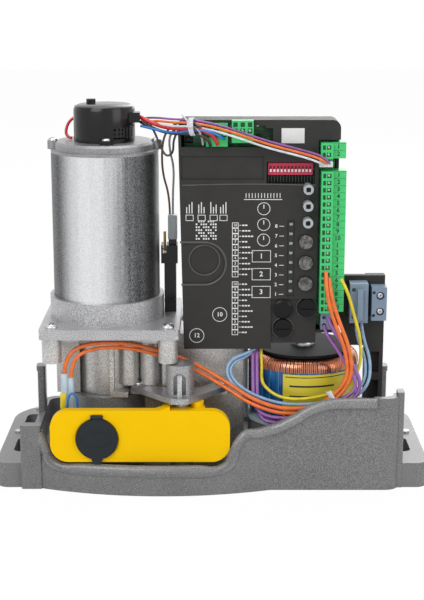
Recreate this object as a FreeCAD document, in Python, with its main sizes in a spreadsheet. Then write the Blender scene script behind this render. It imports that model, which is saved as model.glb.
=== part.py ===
import FreeCAD, Part
import math
import os
import re

import Sketcher
from FreeCAD import Placement, Rotation, Vector

# Sliding gate motor, cover taken off. Millimetres, +Z up, +Y towards the gate.
# The origin is the centre of the four foundation slots, on the underside.

SIZES = {
    # base casting
    "ear_reach": 21, "ear_depth": 138, "ear_height": 18.5, "ear_back_round": 36, "ear_front_round": 9,
    "pan_room": 25.8, "pan_back": 66, "pan_wall": 5, "floor_top": 7, "side_wall_top": 27,
    "front_line": 74.7, "front_bow": 14.5, "bow_start": 125, "bow_end": 42, "corner_round": 11,
    "rim_high": 69, "rim_mid": 47, "rim_low": 20, "rim_side_gap": 5.9, "rim_bead": 3.6,
    "corner_post_left": 48, "corner_post_right": 72,
    "slot_width": 11, "slot_length": 31, "slot_gap": 0.5, "slot_pitch": 57,
    "level_radius": 3, "level_inset": 8, "level_back_gap": 3.6, "level_back_y": 57,
    "cup_radius": 30, "cup_bore": 24, "cup_top": 62,
    "pedestal_radius": 43, "pedestal_top": 39,
    "entry_x": 95, "entry_y": 50, "entry_width": 60, "entry_depth": 18,
    "lug_rear_y": 30, "lug_rear_top": 64,
    # motor
    "motor_x": -77.2, "motor_y": -21, "shell_radius": 38.8, "shell_wall": 2.2, "shell_bottom": 120, "shell_top": 239,
    "flange_bottom": 111, "flange_thick": 7.3, "flange_side": 99.7, "flange_x": -73, "collar_radius": 41.8,
    "collar_top": 134.5, "flange_hole_pitch": 83, "flange_hole": 2.7, "cap_radius": 36.1, "cap_top": 246.6,
    "encoder_radius": 22, "encoder_top": 272.6, "encoder_wall": 1.6,
    "rotor_shaft_radius": 6, "rotor_core_radius": 25, "magnet_thick": 7,
    # gearbox
    "output_x": -22, "output_height": 58, "gear_module": 2.8, "wheel_teeth": 30, "worm_radius": 13.2,
    "wheel_half": 7, "chamber_clear": 1.2, "gearbox_wall": 4, "gearbox_right": 26.7, "gearbox_back": 1,
    "gearbox_top": 106, "barrel_radius": 22, "lug_radius": 7, "lug_bottom": 93, "arm_thick": 3,
    "shaft_radius": 10, "bearing_outer": 21, "bearing_width": 12, "nose_radius": 26, "nose_back": 66,
    "cover_flange": 48, "cover_plate": 4, "running": 0.05,
    "pinion_module": 4, "pinion_teeth": 16, "pinion_width": 30, "pinion_start": 74,
    # release
    "hub_y": -68.5, "hub_radius": 14, "cam_lift": 3, "hub_bottom": 40, "hub_top": 61.5, "pivot_radius": 5, "pivot_seat": 23,
    "pivot_foot": 9,
    "handle_front": -80, "handle_skin": 3, "handle_lip": 7, "press_pad": 4.5,
    "handle_left": -115.5, "handle_right": 12.8,
    "handle_bottom": 23.4, "handle_top": 61.7, "handle_round": 13, "lock_x": -82, "lock_z": 40.8,
    "lock_radius": 8, "lock_recess": 16, "lock_cover_radius": 15, "wing_bottom": 66, "wing_thick": 4,
    "pin_radius": 4, "gap": 0.3, "tongue_setback": 13.5,
    "switch_x": -106, "switch_half": 9, "switch_front": -69.8, "switch_depth": 9.6, "switch_foot": 30,
    "switch_height": 19.5, "switch_rod_z": 41, "switch_rod": 1.5,
    # control board
    "case_left_top": -24.2, "case_left_foot": -20.5, "case_right": 90.9, "case_top": 263.4, "case_foot": 96.5,
    "case_front": -41, "case_skin": 3, "case_back": -17, "tray_foot": 108, "panel_right": 75.5,
    "case_wall": 2, "window_top": 259.6, "board_front": -30, "board_thick": 1.6,
    "pole_pitch": 5.08, "terminal_left": 77.3, "terminal_depth": 17, "terminal_front": -47,
    "strip_ten_upper": 175.7, "strip_ten_lower": 124.6, "strip_two": 236.4,
    "dip_left": 39.9, "dip_bottom": 224.1, "dip_pitch": 2.54, "dip_levers": 12, "dip_height": 8.6,
    "trimmer_x": 68.2, "trimmer_top": 215, "trimmer_pitch": 12, "trimmer_radius": 3.6,
    "button_x": 67.3, "button_top": 176.4, "button_pitch": 15.3, "button_radius": 5,
    "fuse_radius": 6.8, "fuse_right_x": 68.8, "fuse_right_z": 127.1, "fuse_left_x": 51.5, "fuse_left_z": 112,
    # transformer
    "torus_x": 68.7, "torus_y": -10, "torus_radius": 41.5, "torus_hole": 15, "torus_bottom": 41, "torus_top": 90,
    "torus_bevel": 5, "pad_thick": 2, "pad_rim": 3.2, "wire_radius": 1.5,
    # limit switch
    "limit_x": -34.9, "limit_y": -10, "limit_pivot_z": 165, "limit_lever": 1,
    # terminal support
    "support_reach": 5.1, "support_room": 2.8, "support_gap": 4, "support_depth": 8, "support_thick": 5,
    "support_foot": 95, "support_top": 148, "support_window": 16, "window_pitch": 22,
}

# Sizes that follow from the others: the pan is as wide as the transformer and its room need.
FOLLOWING = {
    "pan_half_width": "=torus_x + torus_radius + pan_room",
    "base_length": "=2 * (pan_half_width + ear_reach)",
    "slot_x": "=pan_half_width + slot_gap + slot_width / 2",
    "level_x": "=base_length / 2 - level_inset",
    "level_back_x": "=pan_half_width + level_back_gap",
}

doc = FreeCAD.newDocument("sliding_gate_motor")
sheet = doc.addObject("Spreadsheet::Sheet", "Sizes")
for row, (alias, value) in enumerate({**SIZES, **FOLLOWING}.items(), start=1):
    sheet.set("A%d" % row, alias)
    sheet.set("B%d" % row, str(value))
    sheet.setAlias("B%d" % row, alias)
    doc.recompute()


class Reader:
    """Gives each size of the sheet as an attribute."""

    def __getattr__(self, alias):
        return float(sheet.get(alias))


S = Reader()
NODES = []


def expr(text):
    """Turns the size names in a text into references to the sheet."""
    return re.sub(r"[a-z_]+", lambda m: "Sizes." + m.group(0) if m.group(0) in SIZES else m.group(0), str(text))


def bind(obj, **sizes):
    for name, text in sizes.items():
        obj.setExpression(name, expr(text))
    return obj


def place(obj, x="0", y="0", z="0", rotation=None):
    if rotation is not None:
        obj.Placement = Placement(Vector(), rotation)
    for axis, text in (("x", x), ("y", y), ("z", z)):
        obj.setExpression("Placement.Base." + axis, expr(text))
    return obj


ALONG = {
    "Z": Rotation(),
    "Y": Rotation(Vector(1, 0, 0), -90),
    "X": Rotation(Vector(0, 1, 0), 90),
}


def box(name, x0, x1, y0, y1, z0, z1):
    """A block between named coordinates."""
    obj = doc.addObject("Part::Box", name)
    bind(obj, Length="(%s) - (%s)" % (x1, x0), Width="(%s) - (%s)" % (y1, y0), Height="(%s) - (%s)" % (z1, z0))
    return place(obj, x0, y0, z0)


def rod(name, radius, length, x, y, z, along="Z"):
    """A cylinder that starts at a point and runs along an axis."""
    obj = doc.addObject("Part::Cylinder", name)
    bind(obj, Radius=radius, Height=length)
    return place(obj, x, y, z, ALONG[along])


def fuse(name, *parts):
    obj = doc.addObject("Part::MultiFuse", name)
    obj.Shapes = list(parts)
    obj.Refine = True
    return obj


def cut(name, base, *tools):
    obj = doc.addObject("Part::Cut", name)
    obj.Base = base
    obj.Tool = tools[0] if len(tools) == 1 else fuse(name + "_tools", *tools)
    obj.Refine = True
    return obj


def shaped(name, shape):
    """A piece whose form the primitives don't reach."""
    obj = doc.addObject("Part::Feature", name)
    obj.Shape = shape
    return obj


def node(obj, label):
    """Marks an object as one of the machine's own pieces."""
    obj.Label = label
    NODES.append(obj)
    return obj


def new_body(name):
    return doc.addObject("PartDesign::Body", name)


def sketch(body, name, plane, lift="0"):
    """A sketch on one of the body's origin planes, lifted along that plane's normal."""
    obj = body.newObject("Sketcher::SketchObject", name)
    support = [f for f in body.Origin.OriginFeatures if f.Role == plane][0]
    obj.AttachmentSupport = [(support, "")]
    obj.MapMode = "FlatFace"
    obj.setExpression("AttachmentOffset.Base.z", expr(lift))
    return obj


def dimension(sk, kind, text, *where):
    """A named dimension of a sketch, held by the sheet."""
    index = sk.addConstraint(Sketcher.Constraint(kind, *where, 1.0 if kind == "Radius" else 0.0))
    sk.setExpression("Constraints[%d]" % index, expr(text))


def draw_circle(sk, x, y, radius, guess=(0, 0, 1)):
    geo = sk.addGeometry(Part.Circle(Vector(guess[0], guess[1], 0), Vector(0, 0, 1), guess[2]), False)
    dimension(sk, "DistanceX", x, -1, 1, geo, 3)
    dimension(sk, "DistanceY", y, -1, 1, geo, 3)
    dimension(sk, "Radius", radius, geo)


def draw_rectangle(sk, x0, x1, y0, y1, guess):
    corners = [Vector(guess[0], guess[2], 0), Vector(guess[1], guess[2], 0),
               Vector(guess[1], guess[3], 0), Vector(guess[0], guess[3], 0)]
    first = len(sk.Geometry)
    for i in range(4):
        sk.addGeometry(Part.LineSegment(corners[i], corners[(i + 1) % 4]), False)
    for i in range(4):
        sk.addConstraint(Sketcher.Constraint("Coincident", first + i, 2, first + (i + 1) % 4, 1))
        sk.addConstraint(Sketcher.Constraint("Horizontal" if i % 2 == 0 else "Vertical", first + i))
    dimension(sk, "DistanceX", x0, -1, 1, first, 1)
    dimension(sk, "DistanceY", y0, -1, 1, first, 1)
    dimension(sk, "DistanceX", x1, -1, 1, first + 2, 1)
    dimension(sk, "DistanceY", y1, -1, 1, first + 2, 1)


def extrude(body, kind, name, sk, length, back=False):
    obj = body.newObject("PartDesign::" + kind, name)
    obj.Profile = sk
    obj.setExpression("Length", expr(length))
    obj.Reversed = back
    doc.recompute()
    return obj


def round_edges(body, name, feature, radius, chosen):
    """Rounds the edges of the last feature that the test picks."""
    names = ["Edge%d" % i for i, edge in enumerate(feature.Shape.Edges, start=1) if chosen(edge)]
    obj = body.newObject("PartDesign::Fillet", name)
    obj.Base = (feature, names)
    obj.setExpression("Radius", expr(radius))
    doc.recompute()
    return obj


def direction(edge):
    ends = edge.Vertexes
    if len(ends) != 2 or edge.Curve.TypeId != "Part::GeomLine":
        return Vector()
    step = ends[1].Point - ends[0].Point
    return step.normalize() if step.Length > 0 else Vector()


def upright(edge):
    return abs(direction(edge).z) > 0.99


def points_wire(points, closed=True):
    """Straight runs through a list of points."""
    ring = list(points) + [points[0]] if closed else list(points)
    return Part.makePolygon([Vector(*p) for p in ring])


def prism(points, along):
    return Part.Face(points_wire(points)).extrude(Vector(*along))


def rounded_plan(x0, x1, y0, y1, radii, z0, height):
    """A block whose four upright corners have radii of their own, from the low corner round."""
    a, b, c, d = radii
    diag = 1 - math.sqrt(0.5)
    edges = [
        Part.LineSegment(Vector(x0 + a, y0, z0), Vector(x1 - b, y0, z0)),
        Part.Arc(Vector(x1 - b, y0, z0), Vector(x1 - b * diag, y0 + b * diag, z0), Vector(x1, y0 + b, z0)),
        Part.LineSegment(Vector(x1, y0 + b, z0), Vector(x1, y1 - c, z0)),
        Part.Arc(Vector(x1, y1 - c, z0), Vector(x1 - c * diag, y1 - c * diag, z0), Vector(x1 - c, y1, z0)),
        Part.LineSegment(Vector(x1 - c, y1, z0), Vector(x0 + d, y1, z0)),
        Part.Arc(Vector(x0 + d, y1, z0), Vector(x0 + d * diag, y1 - d * diag, z0), Vector(x0, y1 - d, z0)),
        Part.LineSegment(Vector(x0, y1 - d, z0), Vector(x0, y0 + a, z0)),
        Part.Arc(Vector(x0, y0 + a, z0), Vector(x0 + a * diag, y0 + a * diag, z0), Vector(x0 + a, y0, z0)),
    ]
    wire = Part.Wire([e.toShape() for e in edges])
    return Part.Face(wire).extrude(Vector(0, 0, height))


def cylinder(radius, height, x, y, z, axis=(0, 0, 1)):
    return Part.makeCylinder(radius, height, Vector(x, y, z), Vector(*axis))


def block(x0, x1, y0, y1, z0, z1):
    return Part.makeBox(x1 - x0, y1 - y0, z1 - z0, Vector(x0, y0, z0))


def arc_route(pts):
    """Straight runs through the points, each bend an arc as large as its two runs allow."""
    edges = []
    at = pts[0]
    for a, b, c in zip(pts, pts[1:], pts[2:]):
        back, ahead = a - b, c - b
        short = min(back.Length, ahead.Length) * 0.45
        back.normalize()
        ahead.normalize()
        turn = math.pi - back.getAngle(ahead)
        if turn < 0.002:
            continue
        bend = short / math.tan(turn / 2)
        enter, leave = b + back * short, b + ahead * short
        mid = b + (back + ahead).normalize() * (math.sqrt(short ** 2 + bend ** 2) - bend)
        edges.append(Part.makeLine(at, enter))
        edges.append(Part.Arc(enter, mid, leave).toShape())
        at = leave
    edges.append(Part.makeLine(at, pts[-1]))
    return Part.Wire(edges)


# The front wall's outer face in plan: an arc that bows forward, then a straight run.
def bow_centre():
    """Centre and radius of the arc through both ends of the bow and its foremost point."""
    start = Vector(-S.bow_start, -S.front_line + 4, 0)
    end = Vector(S.bow_end, -S.front_line, 0)
    middle = (start + end) * 0.5 + Vector(0, -S.front_bow, 0)
    circle = Part.Arc(start, middle, end).toShape().Curve
    return start, middle, end, circle


def front_face_y(x):
    """Where the front wall's outer face lies at a place along the wall."""
    start, middle, end, circle = bow_centre()
    if x > end.x:
        return -S.front_line
    reach = circle.Radius ** 2 - (x - circle.Center.x) ** 2
    return circle.Center.y - math.sqrt(reach)


def pan_plan(inset, z0, height):
    """The pan's outline in plan, moved inwards and extruded."""
    start, middle, end, circle = bow_centre()
    side = S.pan_half_width - inset
    back = S.pan_back - inset
    rnd = S.corner_round - inset * 0.5
    down = Vector(0, inset, 0)
    left_front = Vector(-side, start.y + inset, z0)
    up = Vector(0, 0, z0)
    diag = rnd * (1 - math.sqrt(0.5))
    front = -S.front_line + inset
    edges = [
        Part.LineSegment(left_front, start + down + up),
        Part.Arc(start + down + up, middle + down + up, end + down + up),
        Part.LineSegment(end + down + up, Vector(side - rnd, front, z0)),
        Part.Arc(Vector(side - rnd, front, z0), Vector(side - diag, front + diag, z0), Vector(side, front + rnd, z0)),
        Part.LineSegment(Vector(side, front + rnd, z0), Vector(side, back - rnd, z0)),
        Part.Arc(Vector(side, back - rnd, z0), Vector(side - diag, back - diag, z0), Vector(side - rnd, back, z0)),
        Part.LineSegment(Vector(side - rnd, back, z0), Vector(-side + rnd, back, z0)),
        Part.Arc(Vector(-side + rnd, back, z0), Vector(-side + diag, back - diag, z0), Vector(-side, back - rnd, z0)),
        Part.LineSegment(Vector(-side, back - rnd, z0), left_front),
    ]
    return Part.Face(Part.Wire([e.toShape() for e in edges])).extrude(Vector(0, 0, height))


def rim_points():
    """The rim's line along the front wall: down round the handle, up in a sweep to the tall right end."""
    gap = S.rim_side_gap
    left = S.handle_left - gap
    right = S.handle_right + gap * 0.75
    low = S.rim_low
    rnd = S.handle_round + gap * 0.5
    quarter = rnd * (1 - math.sqrt(0.5))
    return [
        (-S.bow_start, S.corner_post_left - 2), (left - 5, 40), (left - 0.5, low + rnd + 1),
        (left + quarter, low + quarter), (left + rnd, low), (-80, low), (-45, low), (-12, low),
        (right - rnd, low), (right - quarter, low + quarter), (right, low + rnd + 2), (right + 1.5, 41),
        (right + 7, S.rim_mid), (34, S.rim_mid + 0.5), (46, S.rim_mid + 3.5), (59, S.rim_mid + 10),
        (71, S.rim_mid + 17.5), (84, S.rim_high - 0.5), (100, S.rim_high), (118, S.rim_high),
    ]


def rim_line(inward, drop):
    """The rim's points in space, a little inside the wall's outer face and below the rim's top."""
    return [Vector(x, front_face_y(x) + inward, z - drop) for x, z in rim_points()]


def build_base():
    half = S.base_length / 2
    depth = S.ear_depth / 2
    ear_in = S.pan_half_width - 20
    ears = []
    for side in (-1, 1):
        x0, x1 = sorted((side * ear_in, side * half))
        radii = (0.1, S.ear_front_round, S.ear_back_round, 0.1)
        if side < 0:
            radii = (S.ear_front_round, 0.1, 0.1, S.ear_back_round)
        ears.append(rounded_plan(x0, x1, -depth, depth, radii, 0, S.ear_height))
    outer = pan_plan(0, 0, S.rim_high + 10)
    inner = pan_plan(S.pan_wall, S.floor_top, S.rim_high + 10)
    shell = outer.cut(inner)
    ears = [ear.cut(inner) for ear in ears]
    # side and back walls stay low, the front wall follows the rim
    start = bow_centre()[0]
    keep_low = block(-200, 200, -S.front_line + S.corner_round + 4, 200, S.side_wall_top, 200)
    left_corner = block(-200, -S.bow_start + 0.05, -200, 200, S.side_wall_top, 200)
    first, last = rim_points()[0], rim_points()[-1]
    roof = [(x, -200, z - S.rim_bead) for x, z in rim_points()]
    roof += [(200, -200, last[1] - S.rim_bead), (200, -200, 200), (first[0], -200, 200)]
    front_cut = prism(roof, (0, 200 - S.front_line + S.corner_round + 4, 0))
    shell = shell.cut(front_cut).cut(keep_low).cut(left_corner)
    # the rounded bead along the rim
    line = rim_line(S.rim_bead * 0.47, S.rim_bead)
    ring = Part.Wire([Part.Circle(line[0], line[1] - line[0], S.rim_bead).toShape()])
    bead = arc_route(line).makePipeShell([ring], True, False)
    # corner posts where the cover seats
    side = S.pan_half_width
    post_left = rounded_plan(-side - 2, -S.bow_start + 2, start.y - 2, start.y + 6, (1.5, 1.5, 1.5, 1.5), 0,
                             S.corner_post_left)
    right_y = -S.front_line + S.corner_round
    end_left = 116
    post_right = rounded_plan(side - 3, side + 2, right_y - 6, right_y + 4, (1.2, 1.2, 1.2, 1.2), 0,
                              S.corner_post_right)
    corner_band = outer.cut(inner).common(block(end_left, 200, -200, right_y + 3, 0, S.rim_high))
    # cup under the worm barrel, seat of the transformer, lugs and posts
    cup = cylinder(S.cup_radius, S.cup_top - 1, S.motor_x, S.motor_y, 1)
    cup = cup.cut(cylinder(S.cup_bore, 200, S.motor_x, S.motor_y, S.floor_top))
    cup = cup.cut(block(S.output_x - 54 - S.gap, 200, -S.gearbox_wall - 29 - S.gap, S.gearbox_back + 5,
                        S.floor_top, 200))
    pedestal = Part.makeCone(S.pedestal_radius + 7, S.pedestal_radius, S.pedestal_top - 1,
                             Vector(S.torus_x, S.torus_y, 1))
    pedestal = pedestal.cut(block(-200, S.gearbox_right + 1, -200, 200, S.floor_top, 200))
    lug_rear = rounded_plan(-side - 1.5, -side + 5.5, S.lug_rear_y - 5, S.lug_rear_y + 5, (2, 2, 2, 2), 1,
                            S.lug_rear_top - 1)
    lug_right = rounded_plan(side - 5.5, side + 1.5, S.lug_rear_y - 5, S.lug_rear_y + 5, (2, 2, 2, 2), 1,
                             S.lug_rear_top - 1)
    pivot_boss = cylinder(S.pivot_radius + 3, S.pivot_seat - 1, S.output_x, S.hub_y, 1)
    pivot_boss = pivot_boss.cut(cylinder(S.pivot_radius + S.running, 60, S.output_x, S.hub_y,
                                         S.pivot_foot - S.gap))
    tongue_front = S.handle_front + S.tongue_setback
    keeper = block(S.lock_x - 5, S.lock_x + 5, tongue_front - 5, tongue_front - 2, 1,
                   S.lock_z - S.lock_radius - 1.8)
    switch_post = block(S.switch_x - S.switch_half, S.switch_x + S.switch_half, S.switch_front - 0.2,
                        S.switch_front + S.switch_depth + 0.2, 1, S.switch_foot)
    whole = ears[0].multiFuse([ears[1], shell, bead, post_left, post_right, corner_band, cup, pedestal, lug_rear,
                               lug_right, pivot_boss, keeper, switch_post])
    # slots, levelling holes, gap for the output nose, way in for the cables
    tools = []
    for sx in (-1, 1):
        for sy in (-1, 1):
            y = sy * S.slot_pitch / 2
            r = S.slot_width / 2
            run = (S.slot_length - S.slot_width) / 2
            x = sx * S.slot_x
            tools.append(block(x - r, x + r, y - run, y + run, -1, 60))
            tools.append(cylinder(r, 61, x, y - run, -1))
            tools.append(cylinder(r, 61, x, y + run, -1))
        tools.append(cylinder(S.level_radius + S.running, 60, sx * S.level_x, 0, -1))
        tools.append(cylinder(S.level_radius + S.running, 60, sx * S.level_back_x, S.level_back_y, -1))
    tools.append(cylinder(S.nose_radius + 0.5, 20, S.output_x, S.pan_back - 12, S.output_height, (0, 1, 0)))
    tools.append(cylinder(4.05, 60, S.torus_x, S.torus_y, S.floor_top))
    entry = rounded_plan(S.entry_x - S.entry_width / 2, S.entry_x + S.entry_width / 2, S.entry_y - S.entry_depth / 2,
                         S.entry_y + S.entry_depth / 2, (6, 6, 6, 6), -1, S.floor_top + 2)
    tools.append(entry)
    return whole.cut(tools[0].multiFuse(tools[1:]))


base = shaped("base_solid", build_base())
node(base, "base_casting")

# Levelling screws, two in each ear.
screws = []
for sx in (-1, 1):
    for x, y in ((S.level_x, 0), (S.level_back_x, S.level_back_y)):
        shank = cylinder(S.level_radius, S.ear_height + 1, sx * x, y, 0.5)
        screws.append(shank)
node(shaped("levelling", Part.Compound(screws)), "levelling_screws")


# The motor stack.
def build_flange():
    body = new_body("flange_body")
    plate = sketch(body, "plate_plan", "XY_Plane", "flange_bottom")
    half = "flange_side / 2"
    draw_rectangle(plate, "flange_x - " + half, "flange_x + " + half, "motor_y - " + half, "motor_y + " + half,
                   (-120, -20, -70, 28))
    pad = extrude(body, "Pad", "plate", plate, "flange_thick")
    pad = round_edges(body, "plate_corners", pad, "3", upright)
    ring = sketch(body, "collar_plan", "XY_Plane", "flange_bottom")
    draw_circle(ring, "motor_x", "motor_y", "collar_radius", (-77, -21, 41))
    extrude(body, "Pad", "collar", ring, "collar_top - flange_bottom")
    bore = sketch(body, "bore_plan", "XY_Plane", "shell_bottom")
    draw_circle(bore, "motor_x", "motor_y", "shell_radius + running", (-77, -21, 39))
    extrude(body, "Pocket", "bore", bore, "30", True)
    hole = sketch(body, "shaft_plan", "XY_Plane", "flange_bottom - 1")
    draw_circle(hole, "motor_x", "motor_y", "worm_radius + gear_module + 1", (-77, -21, 17))
    extrude(body, "Pocket", "shaft_hole", hole, "30", True)
    bolts = sketch(body, "bolt_plan", "XY_Plane", "flange_bottom - 1")
    pitch = "flange_hole_pitch / 2"
    for sx in (-1, 1):
        for sy in (-1, 1):
            draw_circle(bolts, "flange_x %s %s" % ("+-"[sx < 0], pitch), "motor_y %s %s" % ("+-"[sy < 0], pitch),
                        "flange_hole", (-73 + 41 * sx, -21 + 41 * sy, 2.7))
    extrude(body, "Pocket", "bolt_holes", bolts, "40", True)
    return body


node(build_flange(), "motor_flange")

shell = cut("shell_tube",
            rod("shell_outer", "shell_radius", "shell_top - shell_bottom", "motor_x", "motor_y", "shell_bottom"),
            rod("shell_inner", "shell_radius - shell_wall", "shell_top", "motor_x", "motor_y", "shell_bottom - 1"))
node(shell, "motor_shell")


def half_ring(radius, thick, z0, z1, sweep, start):
    """A magnet: part of a ring round the motor's axis."""
    centre = Vector(S.motor_x, S.motor_y, z0)
    outer = Part.makeCylinder(radius, z1 - z0, centre, Vector(0, 0, 1), sweep)
    inner = Part.makeCylinder(radius - thick, z1 - z0, centre, Vector(0, 0, 1), sweep)
    piece = outer.cut(inner)
    piece.rotate(centre, Vector(0, 0, 1), start)
    return piece


magnet_radius = S.shell_radius - S.shell_wall
magnets = [half_ring(magnet_radius, S.magnet_thick, 140, 205, 130, a) for a in (25, 205)]
node(shaped("magnets", Part.Compound(magnets)), "stator_magnets")


def revolved(profile, x, y, axis="Z", height=0):
    """A solid of revolution from radius and height pairs."""
    face = Part.Face(points_wire([(r, 0, z) for r, z in profile]))
    solid = face.revolve(Vector(0, 0, 0), Vector(0, 0, 1), 360)
    if axis == "Y":
        solid.rotate(Vector(0, 0, 0), Vector(1, 0, 0), -90)
    solid.translate(Vector(x, y, height))
    return solid


def build_end_cap():
    r = S.cap_radius
    top = S.cap_top
    low = S.shell_top
    profile = [(S.rotor_shaft_radius + 5.05, low - 6), (S.shell_radius - S.shell_wall - S.running, low - 6),
               (S.shell_radius - S.shell_wall - S.running, low),
               (S.shell_radius, low), (S.shell_radius, low + 1.6), (r, low + 2.4), (r, top - 1.6), (r - 1.6, top),
               (S.rotor_shaft_radius + 5.05, top)]
    cap = revolved(profile, S.motor_x, S.motor_y)
    lugs = []
    for angle in (180, 0):
        reach = r + 1
        x = S.motor_x + reach * math.cos(math.radians(angle))
        lug = cylinder(4.2, top - low - 1.6, x, S.motor_y, low + 1.6)
        lugs.append(lug)
    cap = cap.multiFuse(lugs)
    for angle in (180, 0):
        x = S.motor_x + (r + 1) * math.cos(math.radians(angle))
        cap = cap.cut(cylinder(2, 40, x, S.motor_y, low + 1))
    post = cylinder(2, 40, S.motor_x + 3, S.motor_y - S.encoder_radius - 3.8, low + 4)
    return cap.cut(post)


node(shaped("end_cap", build_end_cap()), "motor_end_cap")


def build_encoder_cover():
    r = S.encoder_radius
    low, top, wall = S.cap_top, S.encoder_top, S.encoder_wall
    profile = [(0, top - wall), (r - 3 - wall, top - wall), (r - wall, top - 4), (r - wall, low), (r, low),
               (r, top - 3.5), (r - 1, top - 1), (r - 3.5, top), (0, top)]
    cover = revolved(profile, S.motor_x, S.motor_y)
    boss = cylinder(3.4, 4, S.motor_x - 10, S.motor_y + 8, top - 1)
    ear = rounded_plan(S.motor_x - 2, S.motor_x + 8, S.motor_y - r - 7.5, S.motor_y - r + 4, (4, 4, 1, 1), low, 3)
    outlet = block(S.motor_x + r - 6, S.motor_x + r + 4, S.motor_y - 12, S.motor_y - 2, top - 12, top - 5)
    whole = cover.multiFuse([boss, ear.cut(cylinder(r - wall, 20, S.motor_x, S.motor_y, low - 1)),
                             outlet.cut(cylinder(r - wall, 40, S.motor_x, S.motor_y, low - 1))])
    cuts = [cylinder(2, 30, S.motor_x + 3, S.motor_y - r - 3.8, low - 1),
            block(S.motor_x + r - 9, S.motor_x + r + 6, S.motor_y - 10.5, S.motor_y - 3.5, top - 10.5, top - 6.5)]
    for i in range(3):
        z = low + 3 + 3 * i
        cuts.append(block(S.motor_x + 8, S.motor_x + 30, S.motor_y - 30, S.motor_y - 13, z, z + 1.2))
    return whole.cut(cuts[0].multiFuse(cuts[1:]))


node(shaped("encoder_cover_solid", build_encoder_cover()), "encoder_cover")


# The gear train: a one-start worm on the rotor's shaft and a wheel on the output shaft.
def gear_outline(module, teeth, phase=0.0, slack=0.06):
    """An involute wheel's outline as points in its own plane."""
    pressure = math.radians(20)
    pitch = module * teeth / 2
    base = pitch * math.cos(pressure)
    tip = pitch + module
    root = pitch - 1.25 * module
    inv = math.tan(pressure) - pressure
    half = math.pi / (2 * teeth) - slack / pitch
    points = []
    for k in range(teeth):
        centre = phase + 2 * math.pi * k / teeth
        flank = []
        for step in range(4):
            r = max(root, base) + (tip - max(root, base)) * step / 3
            roll = math.acos(min(1, base / r))
            flank.append((r, half + inv - (math.tan(roll) - roll)))
        left = [(root, flank[0][1] + 0.01)] + flank
        for r, a in left:
            points.append((r * math.cos(centre - a), r * math.sin(centre - a)))
        for r, a in reversed(left):
            points.append((r * math.cos(centre + a), r * math.sin(centre + a)))
    return points


def gear_solid(module, teeth, width, y, phase):
    """A spur wheel about the output axis."""
    ring = gear_outline(module, teeth, phase)
    pts = [(S.output_x + px, y, S.output_height + pz) for px, pz in ring]
    return prism(pts, (0, width, 0))


def helical_wheel(module, teeth, width, y, phase, slope):
    """A wheel about the output axis whose teeth lean by the worm's lead angle."""
    turn = slope * width / (module * teeth)
    ends = []
    for end_y, angle in ((y, phase + turn), (y + width, phase - turn)):
        ring = gear_outline(module, teeth, angle)
        ends.append(points_wire([(S.output_x + px, end_y, S.output_height + pz) for px, pz in ring]))
    return Part.makeLoft(ends, True, True)


worm_seat = 14
worm_bore = S.worm_radius + S.gear_module + 1


def build_worm_shaft():
    module = S.gear_module
    lead = math.pi * module
    root = S.worm_radius - 1.25 * module
    x, y = S.motor_x, S.motor_y
    low = S.output_height - 2.5 * lead
    foot = worm_seat + S.gap
    core = revolved([(0, foot), (S.rotor_shaft_radius, foot), (S.rotor_shaft_radius, low - 3), (root, low),
                     (root, S.output_height + 2.6 * lead), (S.rotor_shaft_radius, S.output_height + 2.6 * lead + 3),
                     (S.rotor_shaft_radius, S.encoder_top - 8), (0, S.encoder_top - 8)], x, y)
    helix = Part.makeHelix(lead, 4 * lead, S.worm_radius)
    thick_in = lead / 4 + math.tan(math.radians(20)) * 1.25 * module
    thick_out = lead / 4 - math.tan(math.radians(20)) * module
    slack = 0.25
    r0, r1 = root - 0.6, S.worm_radius + module
    tooth = points_wire([(r0, 0, -thick_in + slack), (r1, 0, -thick_out + slack), (r1, 0, thick_out - slack),
                         (r0, 0, thick_in - slack)])
    thread = Part.Wire(helix.Edges).makePipeShell([tooth], True, True)
    # a groove, half a lead from the thread, faces the wheel tooth at the height of its axis
    thread.translate(Vector(x, y, S.output_height - 1.5 * lead))
    return core.fuse(thread)


node(shaped("worm_shaft", build_worm_shaft()), "rotor_shaft")

rotor_parts = [
    cylinder(S.rotor_core_radius, 60, S.motor_x, S.motor_y, 142),
    cylinder(S.rotor_core_radius - 6, 14, S.motor_x, S.motor_y, 128),
    cylinder(S.rotor_core_radius - 6, 12, S.motor_x, S.motor_y, 202),
    cylinder(13, 16, S.motor_x, S.motor_y, 214),
]
rotor = rotor_parts[0].multiFuse(rotor_parts[1:])
for k in range(12):
    slot = block(S.motor_x + S.rotor_core_radius - 3, S.motor_x + S.rotor_core_radius + 3, S.motor_y - 1.2,
                 S.motor_y + 1.2, 141, 203)
    slot.rotate(Vector(S.motor_x, S.motor_y, 0), Vector(0, 0, 1), 30 * k)
    rotor = rotor.cut(slot)
rotor = rotor.cut(cylinder(S.rotor_shaft_radius, 300, S.motor_x, S.motor_y, 0))
node(shaped("rotor_core_solid", rotor), "rotor_core")

disc = cut("encoder_ring", rod("encoder_plate", "encoder_radius - 7", "1.5", "motor_x", "motor_y", "cap_top + 6"),
           rod("encoder_bore", "rotor_shaft_radius", "9", "motor_x", "motor_y", "cap_top + 4"))
node(disc, "encoder_disc")

chamber_radius = S.gear_module * (S.wheel_teeth / 2 + 1) + S.chamber_clear
worm_slope = S.gear_module / (2 * S.worm_radius)
wheel = helical_wheel(S.gear_module, int(S.wheel_teeth), 2 * S.wheel_half, S.motor_y - S.wheel_half, math.pi,
                      worm_slope)
wheel = wheel.cut(cylinder(S.shaft_radius + 3, 80, S.output_x, -60, S.output_height, (0, 1, 0)))
node(shaped("wheel_solid", wheel), "worm_wheel")


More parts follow.
